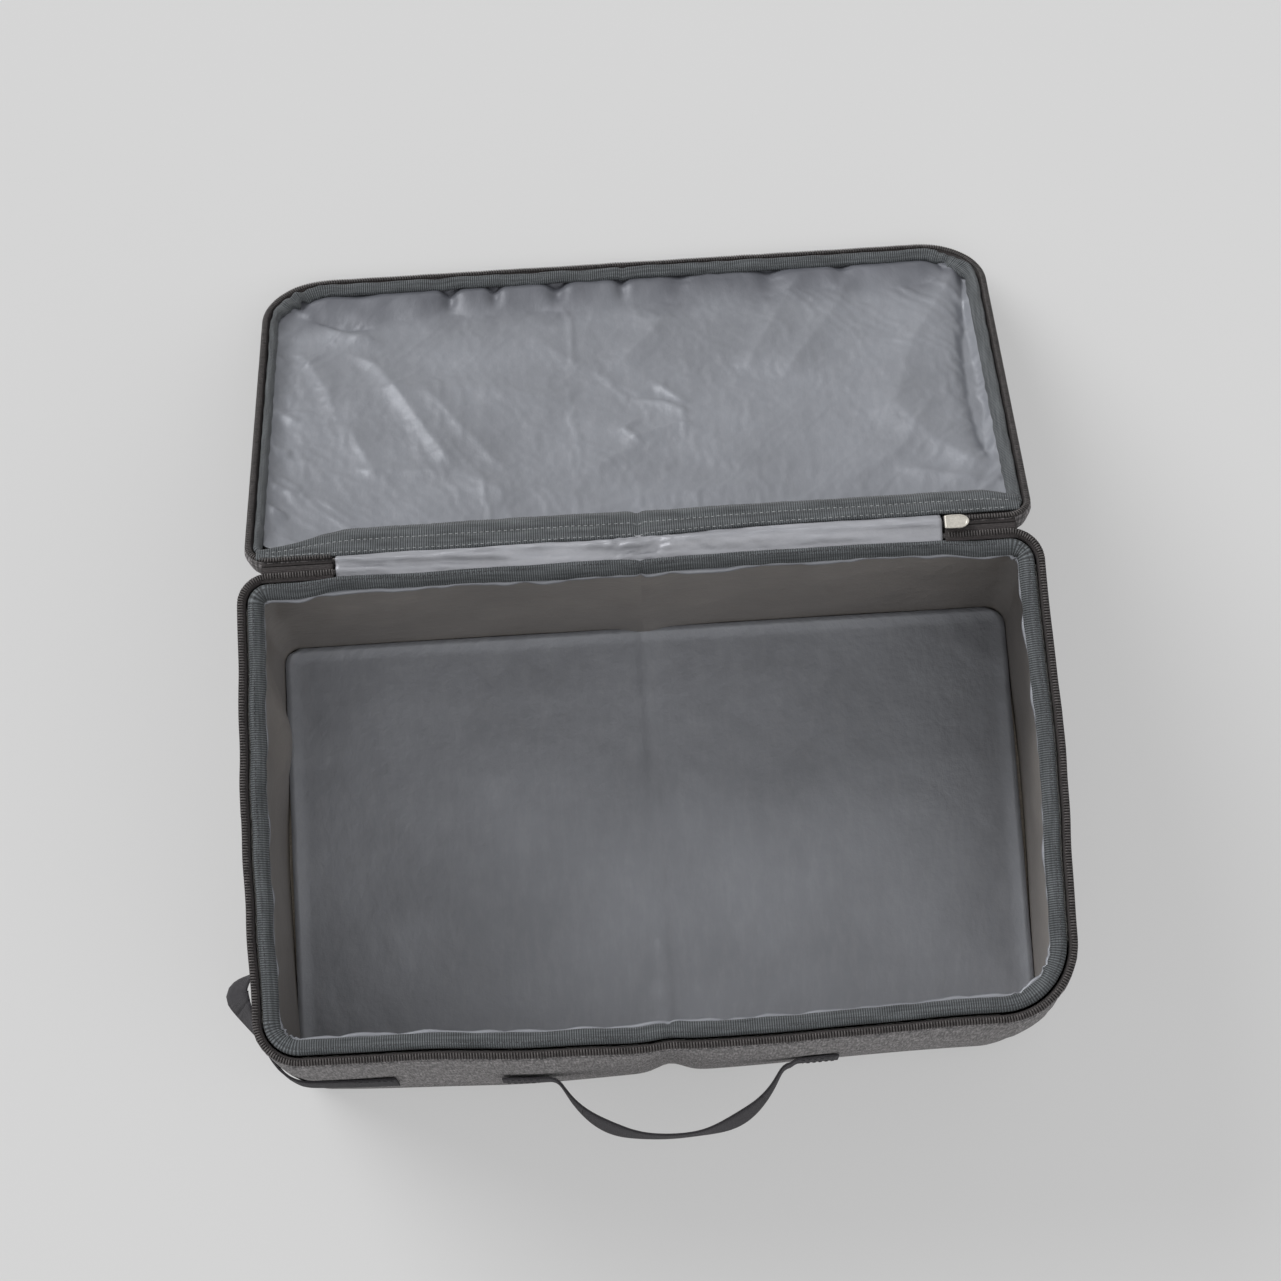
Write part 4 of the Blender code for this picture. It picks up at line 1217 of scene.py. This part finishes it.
def let_fall(item, grid):
    """Cloth simulation with its edge held, over a sheet in the foam's place."""
    across, along = grid
    edge = []
    for i in range(along + 1):
        for j in range(across + 1):
            if i in (0, along) or j in (0, across):
                edge.append(i * (across + 1) + j)
    item.vertex_groups.new(name="held").add(edge, 1.0, "REPLACE")
    skin = 0.003
    work = bmesh.new()
    bmesh.ops.create_grid(work, x_segments=40, y_segments=24, size=0.17)
    place = Matrix.Translation((0.0, (LID_NEAR + LID_FAR) / 2.0, FOAM_TOP - skin))
    work.transform(LID_FRAME @ place @ Matrix.Diagonal((1.5, 1.0, 1.0, 1.0)))
    ground = stand("fall_on", work=work)
    ground.modifiers.new("collision", "COLLISION")
    ground.collision.thickness_outer = skin
    ground.collision.cloth_friction = 5.0
    cloth = item.modifiers.new("cloth", "CLOTH")
    settings = {
        "quality": 8, "mass": 0.12, "tension_stiffness": 18.0, "compression_stiffness": 18.0,
        "shear_stiffness": 9.0, "bending_stiffness": 0.06, "air_damping": 1.5, "shrink_min": -0.026,
        "shrink_max": -0.026, "vertex_group_mass": "held",
    }
    for key, value in settings.items():
        setattr(cloth.settings, key, value)
    cloth.collision_settings.distance_min = 0.0008
    cloth.collision_settings.collision_quality = 3
    cloth.point_cache.frame_start = 1
    cloth.point_cache.frame_end = 40
    scene = bpy.context.scene
    scene.gravity = LID_FRAME.to_3x3() @ Vector((0.0, 0.0, -9.81))
    for step in range(1, 27):
        scene.frame_set(step)
    settle(item)
    item.vertex_groups.clear()
    scene.gravity = (0.0, 0.0, -9.81)
    scene.frame_set(1)
    bpy.data.objects.remove(ground, do_unlink=True)


make_lid_lining()
make_lid_edges()
make_hem()


# The cloth hinge, the zip's ends and its slider

def strip_point(x, share):
    """The silver hinge strip: from under the rim's binding over the gap to under the lid's hem."""
    rim_side = Vector((x, HALF_DEPTH - 0.0056, RIM_TOP - 0.0024))
    lid_side = LID_FRAME @ Vector((x, hem_edges(x)[0] + 0.0028, LID_TOP - 0.0028))
    middle = Vector((x, HINGE.y, HINGE.z + 0.0006))
    start, end, part = (rim_side, middle, 0.0) if share < 0.5 else (middle, lid_side, 0.5)
    spot = start.lerp(end, smooth(part, part + 0.5, share))
    spot.y = start.y + (end.y - start.y) * (share - part) * 2.0
    long_folds = 0.0058 * (0.25 - abs(wave(91, x * 13.0 + share * 1.8, share * 4.6)))
    long_folds += 0.002 * wave(92, x * 34.0 + share * 2.0, share * 7.0)
    sharp = abs(wave(93, x * 105.0 + share * 3.0, share * 5.0 - x * 30.0))
    crumple = 0.0088 * bell(x, 0.002, 0.026) * (0.2 - sharp)
    puckers = 0.0012 * wave(94, x * 95.0 + share * 3.0, share * 3.0)
    spot.z += max(-0.0011, long_folds + crumple + puckers) * sin(pi * share)
    return spot


def make_hinge():
    steps = evenly(-HINGE_HALF, HINGE_HALF, 0.002)
    rows = [[strip_point(x, share) for share in spaced(0.0, 1.0, 22)] for x in steps]
    item = thicken(lay_grid("hinge_strip_cloth", rows), 0.0005, BOTH_WAYS)
    start, end = (0.0, HINGE.y - 0.0022, HINGE.z), (0.0, HINGE.y + 0.0022, HINGE.z)
    bodies = ("rim", "lid", start, end)
    dress(item, bodies, SILVER_HINGE_PAINTED_LIGHT, "silver_lining", "hinge_strip_case", "hinge_strip_lid")


def make_zip_ends():
    """The zip's two short ends beside the hinge strip, one tape on the rim and one on the lid."""
    start, end = (corner.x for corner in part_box("zip_end_tape_right"))
    for name, sign in (("right", 1.0), ("left", -1.0)):
        rim_rows, lid_rows = [], []
        for x in evenly(start, end, 0.002):
            sway = 0.0003 * wave(96, x * 120.0)
            rim_z, lid_n = RIM_TOP - 0.0014 + sway, LID_TOP - 0.0036 - sway
            rim_rows.append([Vector((sign * x, HALF_DEPTH + y, rim_z)) for y in spaced(-0.005, 0.0034, 4)])
            lid_rows.append([Vector((sign * x, t, lid_n)) for t in spaced(0.0022, 0.0122, 4)])
        item = thicken(lay_grid(f"zip_end_cloth_{name}", rim_rows), 0.0007, BOTH_WAYS)
        dress(item, "rim", TAPE, "zip_tape", f"zip_end_tape_{name}")
        item = thicken(lay_grid(f"lid_zip_end_cloth_{name}", lid_rows), 0.0007, BOTH_WAYS)
        dress(onto_lid(item), "lid", TAPE, "zip_tape")


def joined(name, items, place):
    """One object from several, moved to its place."""
    work = bmesh.new()
    for item in items:
        work.from_mesh(item.data)
        bpy.data.objects.remove(item, do_unlink=True)
    work.transform(Matrix.Translation(place))
    whole = stand(name, work=work)
    whole.data.set_sharp_from_angle(angle=radians(40.0))
    return whole


def slider_outline(half, length):
    """A slider plate from above: square at the back, wide at its shoulders, rounded at its nose."""
    back, shoulder, nose = half * 0.72, half * 0.94, half * 0.25
    right = [(0.0, back), (length * 0.35, back), (length * 0.58, shoulder)]
    for i in range(5):
        angle = pi / 2.0 * i / 5
        right.append((length * (0.64 + 0.36 * sin(angle)), nose + (shoulder - nose) * cos(angle)))
    right.append((length, nose))
    return [(x, -y) for x, y in right] + right[::-1]


def make_slider():
    """Two plates round the zip, a wedge between them, and two lips under the upper one."""
    low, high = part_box("zip_slider")
    middle = (low + high) / 2.0
    length, half, rise = high.x - low.x, (high.y - low.y) / 2.0, (high.z - low.z) / 2.0
    thick = 0.001
    outline = slider_outline(half, length)
    items = [
        plate_from("top", outline, rise - thick, rise, 0.00025),
        plate_from("bottom", outline, -rise, thick - rise, 0.00025),
    ]
    back, front, side = length * 0.62, length * 0.93, 0.0008
    post = oblong(back, front, -side, side)
    items.append(plate_from("wedge", post, thick * 0.5 - rise, rise - thick * 0.5, 0.0001))
    inner, outer = half * 0.6, half * 0.74
    for near, far in ((-outer, -inner), (inner, outer)):
        lip = oblong(0.0, length * 0.3, near, far)
        items.append(plate_from("lip", lip, rise - thick - 0.0006, rise - thick * 0.5, 0.0001))
    item = joined("zip_slider_body", items, (low.x, middle.y, middle.z))
    dress(item, "slider", METAL, "zip_metal", "zip_slider")


def make_pull():
    """The pull tab: flat at its root, round at its tip, with a raised border."""
    low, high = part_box("zip_pull")
    middle = (low + high) / 2.0
    length, half = high.x - low.x, (high.y - low.y) / 2.0 * 1.07
    side = [(0.0, half * 0.92), (length * 0.1, half * 0.96), (length * 0.3, half), (length * 0.52, half)]
    outline = [(x, -y) for x, y in side]
    for i in range(1, 12):
        angle = -pi / 2.0 + pi * i / 12
        outline.append((length * (0.55 + 0.45 * cos(angle)), half * sin(angle)))
    outline += side[::-1]
    body = plate_from("body", outline, -0.00032, 0.00032, 0.00012)
    centre = Vector((length * 0.48, 0.0))
    ring = ((0.8, 0.0), (0.84, 0.00022), (0.92, 0.00022), (0.97, 0.0), (0.92, -0.0001), (0.84, -0.0001))
    points = []
    for place in outline:
        for share, rise in ring:
            points.append((*centre.lerp(Vector(place), share), 0.0003 + rise))
    border = small_parts("border", [(points, ring_faces(len(outline), len(ring), around=True))])
    item = joined("zip_pull_tab", [body, border], (low.x, middle.y, middle.z))
    dress(item, "pull", METAL, "zip_metal", "zip_pull")


make_hinge()
make_zip_ends()
make_slider()
make_pull()


# Webbing

HANDLE_Z = (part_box("handle_loop")[0].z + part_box("handle_loop")[1].z) / 2.0
HANDLE_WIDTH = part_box("handle_loop")[1].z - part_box("handle_loop")[0].z
STRAP_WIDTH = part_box("corner_loop")[1].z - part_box("corner_loop")[0].z
WEBBING_THICK = 0.0015
COURSE_STEP = 0.0022


def front_face(x, height):
    """Where the front wall's outer face is, at a place across it."""
    run = 2.0 * HALF_WIDTH - CORNER_RADII[1] - CORNER_RADII[2]
    share = (x + HALF_WIDTH - CORNER_RADII[1]) / run
    bow = FRONT_BOW * (1.0 - cos(2.0 * pi * share)) / 2.0 if 0.0 < share < 1.0 else 0.0
    point = Vector((x, -HALF_DEPTH - bow))
    return point.y - wall_shift(point, Vector((0.0, -1.0)), height)


def left_face(y, height):
    point = Vector((-HALF_WIDTH - SIDE_BOW, y))
    return point.x - wall_shift(point, Vector((-1.0, 0.0)), height)


def bezier(start, pull_start, pull_end, end, steps):
    out = []
    for t in spaced(0.0, 1.0, steps):
        u = 1.0 - t
        out.append(start * u ** 3 + pull_start * 3 * u * u * t + pull_end * 3 * u * t * t + end * t ** 3)
    return out


def ribbon(name, course, width, lean_at, middle_z):
    """Webbing along a course in plan. At each point, lean_at gives its width's turn out of the upright."""
    section = [(-0.5, -0.5), (-0.5, 0.5), (-0.25, 0.5), (0.0, 0.5), (0.25, 0.5)]
    section += [(-a, -b) for a, b in section]
    rows = []
    for i, point in enumerate(course):
        along = (course[min(len(course) - 1, i + 1)] - course[max(0, i - 1)]).normalized()
        out = Vector((along.y, -along.x, 0.0))
        lean = lean_at(point)
        across = UP * cos(lean) - out * sin(lean)
        face = out * cos(lean) + UP * sin(lean)
        row = []
        for a, b in section:
            at_edge = abs(a) == 0.5
            reach = width - (WEBBING_THICK * 0.25 if at_edge else 0.0)
            thickness = WEBBING_THICK * (0.7 if at_edge else 1.0)
            row.append(Vector((*point, middle_z)) + across * a * reach + face * b * thickness)
        rows.append(row)
    return lay_grid(name, rows, tube=True)


def finer(course):
    """The same course in even steps."""
    lengths = [(b - a).length for a, b in zip(course, course[1:])]
    out, index, base = [], 0, 0.0
    for goal in evenly(0.0, sum(lengths), COURSE_STEP):
        while index < len(course) - 2 and base + lengths[index] < goal:
            base += lengths[index]
            index += 1
        out.append(course[index].lerp(course[index + 1], (goal - base) / lengths[index]))
    return out


def lay_webbing(course, parts, width, lean_at, middle_z, body, look, slot):
    """One length of webbing in three pieces: a loop that swings, and two sewn ends that stay in place."""
    for name, node, first, last, handover in parts:
        rides_on = body
        if handover:
            start, end = handover
            rides_on = ("fittings", body, (*start, middle_z), (*end, middle_z))
        item = ribbon(name, course[first:last + 1], width, lean_at, middle_z)
        dress(item, rides_on, look, slot, node)


def make_handle():
    """The front handle: sewn down at two patches, led to its turning line and hanging forwards between."""
    lead_x, patch_x, root_x, cut_x = 0.068, 0.091, 0.056, 0.048
    axis_y = joints["handle_swing"]["pos_m"][1]
    slope = Vector((cos(radians(57.0)), -sin(radians(57.0))))

    def sewn_place(x, gap):
        return Vector((x, front_face(x, HANDLE_Z) - gap))

    gap = WEBBING_THICK * 0.5 + 0.0011
    patch = [sewn_place(x, gap) for x in evenly(-patch_x, -lead_x, 0.004)]
    bend, root = patch[-1], Vector((-root_x, axis_y))
    pull = (root - bend).length / 2.0
    lead = bezier(bend, bend + Vector((pull, 0.0)), root - slope * pull, root, 8)
    tip = Vector((0.0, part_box("handle_loop")[0].y + WEBBING_THICK / 2.0))
    leg = bezier(root, root + slope * 0.019, tip - Vector((root_x / 2.0, 0.0)), tip, 22)
    half = patch + lead[1:] + leg[1:]
    mirrored = [sewn_place(-p.x, gap) if -p.x > lead_x else Vector((-p.x, p.y)) for p in half[-2::-1]]
    course = finer(half + mirrored)

    def lean_at(point):
        return radians(13.0 * bell(abs(point.x), 0.036, 0.017) + 2.0 * wave(101, point.x * 40.0))

    left = max(i for i, p in enumerate(course) if p.x <= -cut_x)
    right = min(i for i, p in enumerate(course) if p.x >= cut_x)
    ends = [[(sign * x, axis_y) for x in (lead_x, cut_x + 0.001)] for sign in (-1.0, 1.0)]
    parts = (
        ("handle_webbing_left", "handle_patch_left", 0, left, ends[0]),
        ("handle_webbing_loop", "handle_loop", left, right, None),
        ("handle_webbing_right", "handle_patch_right", right, len(course) - 1, ends[1]),
    )
    lay_webbing(course, parts, HANDLE_WIDTH, lean_at, HANDLE_Z, "handle", WEBBING, "handle_webbing")
    shapes = []
    for sign in (-1.0, 1.0):
        outer, inner = sign * (patch_x - 0.003), sign * (lead_x + 0.004)
        corners = []
        for x, z in oblong(outer, inner, HANDLE_Z - 0.008, HANDLE_Z + 0.008):
            corners.append(Vector((*sewn_place(x, WEBBING_THICK + 0.0013), z)))
        shapes += box_stitches(corners, (0.0, -1.0, 0.0))
    dress(small_parts("handle_box_stitches", shapes), "fittings", DARK_THREAD, "handle_webbing")


def stand_off(point):
    """How far a place in plan is outside the case's plain outline, near its front left corner."""
    radius = CORNER_RADII[1]
    across = max(0.0, -point.x - (HALF_WIDTH - radius))
    along = max(0.0, -point.y - (HALF_DEPTH - radius))
    return hypot(across, along) - radius


def corner_course(side_root, middle_z):
    """The corner strap's course in plan, and where it touches the corner.

    It is sewn to the left wall, bulges away from it, and hugs the corner and the front wall.
    """
    gap = WEBBING_THICK * 0.5 + 0.0005
    corner_start, corner_length = length_of(CASE[:3]), CASE[3][1]
    corner_end = corner_start + corner_length
    patch_far, patch_near, patch_end = 0.041, 0.059, -0.148
    front_end = corner_end + patch_end + HALF_WIDTH - CORNER_RADII[1]

    def on_wall(distance, off):
        """A place in plan that stands off the outer cloth, and the wall's course there."""
        point, normal, _corner = place_on(CASE, distance)
        return point + normal * (wall_shift(point, normal, middle_z) + off), Vector((-normal.y, normal.x))

    def on_side(y):
        return on_wall(corner_start - (HALF_DEPTH - CORNER_RADII[1] - y), gap)

    side_patch = [on_side(y)[0] for y in evenly(patch_far, patch_near, 0.003)]
    bend, way = on_side(patch_near)
    lean = radians(38.0)
    leave = Vector((-sin(lean), -cos(lean)))
    pull = (side_root - bend).length / 2.0
    lead = bezier(bend, bend + way * pull, side_root - leave * pull, side_root, 6)
    tip = side_root + Vector((-0.0105, -0.013))
    pull = (tip - side_root).length / 3.0
    near = bezier(side_root, side_root + leave * pull, tip + Vector((0.0, pull)), tip, 10)
    touch_place = corner_start + corner_length * 0.3
    touch, way = on_wall(touch_place, gap + 0.0009)
    pull = way * (touch - tip).length * 0.16
    far = bezier(tip, tip + (touch - tip) * 0.3 + Vector((-0.0012, 0.0)), touch - pull, touch, 14)
    front = []
    for distance in evenly(touch_place, front_end, 0.003):
        extra = 0.0009 * (1.0 - smooth(corner_start + corner_length * 0.7, corner_end, distance))
        front.append(on_wall(distance, gap + extra)[0])
    return finer(side_patch + lead[1:] + near[1:] + far[1:] + front[1:]), touch


def make_corner_strap():
    """Wide webbing from the left wall to the front wall, which leans out where it bulges."""
    x, y, middle_z = joints["corner_swing"]["pos_m"]
    side_root = Vector((x, y))
    front_root = Vector((-HALF_WIDTH + 0.034, -HALF_DEPTH - 0.008))
    chord = (front_root - side_root).normalized()
    course, touch = corner_course(side_root, middle_z)

    def lean_at(point):
        return radians(30.0) * min(1.0, max(0.0, stand_off(point) - 0.002) / 0.0165) ** 1.4

    low, high = 0.012, (touch - side_root).dot(chord) - 0.007
    travelled = [(point - side_root).dot(chord) for point in course]
    first, last = (next(i for i, run in enumerate(travelled) if run > cut) for cut in (low, high))
    side_handover = (side_root - chord * 0.006, side_root + chord * low)
    front_handover = (side_root + chord * (high + 0.016), side_root + chord * high)
    parts = (
        ("corner_webbing_side", "corner_patch_side", 0, first, side_handover),
        ("corner_webbing_loop", "corner_loop", first, last, None),
        ("corner_webbing_front", "corner_patch_front", last, len(course) - 1, front_handover),
    )
    lay_webbing(course, parts, STRAP_WIDTH, lean_at, middle_z, "corner", STRAP, "corner_webbing")
    out = WEBBING_THICK + 0.0005
    bottom, top = middle_z - 0.012, middle_z + 0.012
    front_box, side_box = [], []
    for x, z in oblong(-0.17, -0.1505, bottom, top):
        front_box.append(Vector((x, front_face(x, middle_z) - out, z)))
    for y, z in oblong(-0.043, -0.057, bottom, top):
        side_box.append(Vector((left_face(y, middle_z) - out, y, z)))
    shapes = box_stitches(front_box, (0.0, -1.0, 0.0)) + box_stitches(side_box, (-1.0, 0.0, 0.0))
    dress(small_parts("corner_box_stitches", shapes), "fittings", DARK_THREAD, "corner_webbing")


make_handle()
make_corner_strap()


# Floor, light and camera

def seen_rays(tree):
    """1 for rays that show the backdrop itself: seen straight on, mirrored or through something clear."""
    path = tree.nodes.new("ShaderNodeLightPath")
    total = path.outputs["Is Camera Ray"]
    for kind in ("Is Glossy Ray", "Is Transmission Ray"):
        both = tree.nodes.new("ShaderNodeMath")
        both.operation = "MAXIMUM"
        tree.links.new(total, both.inputs[0])
        tree.links.new(path.outputs[kind], both.inputs[1])
        total = both.outputs[0]
    return total


def make_floor():
    size, low = 6.0, -0.001
    corners = [(*place, low) for place in oblong(-size, size, -size, size)]
    item = stand("studio_floor", corners, [(0, 1, 2, 3)])
    look = Look("studio_paper", (0.67, 0.67, 0.67), 0.9)
    grain = look.noise(look.solid(), 3.0, 2.0)
    paper = look.finish(look.ramp(grain, 0.3, 0.7, (0.665,) * 3, (0.675,) * 3))
    glow = look.add("ShaderNodeEmission", {"Color": (0.686, 0.686, 0.686, 1.0)}).outputs["Emission"]
    seen = look.maths("MULTIPLY", seen_rays(look.tree), 0.5)
    both = look.add("ShaderNodeMixShader", {0: seen, 1: look.shader.outputs["BSDF"], 2: glow})
    look.put(look.tree.nodes["Material Output"].inputs["Surface"], both.outputs["Shader"])
    item.data.materials.append(paper)


def add_to_scene(name, data):
    item = bpy.data.objects.new(name, data)
    bpy.context.scene.collection.objects.link(item)
    return item


def make_light():
    """A pale sky, brighter where it is seen than as a light, and two soft lamps."""
    world = bpy.data.worlds.new("studio")
    bpy.context.scene.world = world
    world.use_nodes = True
    tree = world.node_tree
    sky = tree.nodes["Background"]
    sky.inputs["Color"].default_value = (1.0, 1.0, 1.0, 1.0)
    level = tree.nodes.new("ShaderNodeMapRange")
    level.inputs["To Min"].default_value = 0.44
    level.inputs["To Max"].default_value = 0.68
    tree.links.new(seen_rays(tree), level.inputs["Value"])
    tree.links.new(level.outputs["Result"], sky.inputs["Strength"])
    lamps = (
        ("key_lamp", (-0.62, 0.6, 0.48), 40.0, 2.2),
        ("fill_lamp", (0.5, -0.8, 1.3), 70.0, 0.7),
    )
    for name, towards, wide, strength in lamps:
        data = bpy.data.lights.new(name, "SUN")
        data.angle = radians(wide)
        data.energy = strength
        lamp = add_to_scene(name, data)
        lamp.location = towards
        lamp.rotation_euler = Vector(towards).to_track_quat("Z", "Y").to_euler()


def make_camera():
    """The camera that was fitted to the photograph."""
    data = bpy.data.cameras.new("camera")
    data.sensor_width = SENSOR_MM
    data.lens = LENS_MM
    camera = add_to_scene("camera", data)
    tilt = sin(CAMERA_PITCH)
    forward = Vector((sin(CAMERA_YAW) * tilt, cos(CAMERA_YAW) * tilt, -cos(CAMERA_PITCH)))
    right = Vector((cos(CAMERA_YAW), -sin(CAMERA_YAW), 0.0))
    level = Matrix((right, right.cross(forward), -forward)).transposed()
    turned = level @ Matrix.Rotation(-CAMERA_ROLL, 3, "Z")
    camera.matrix_world = Matrix.Translation(CAMERA_PLACE) @ turned.to_4x4()
    bpy.context.scene.camera = camera


make_floor()
make_light()
make_camera()
bpy.context.scene.view_settings.view_transform = "Standard"
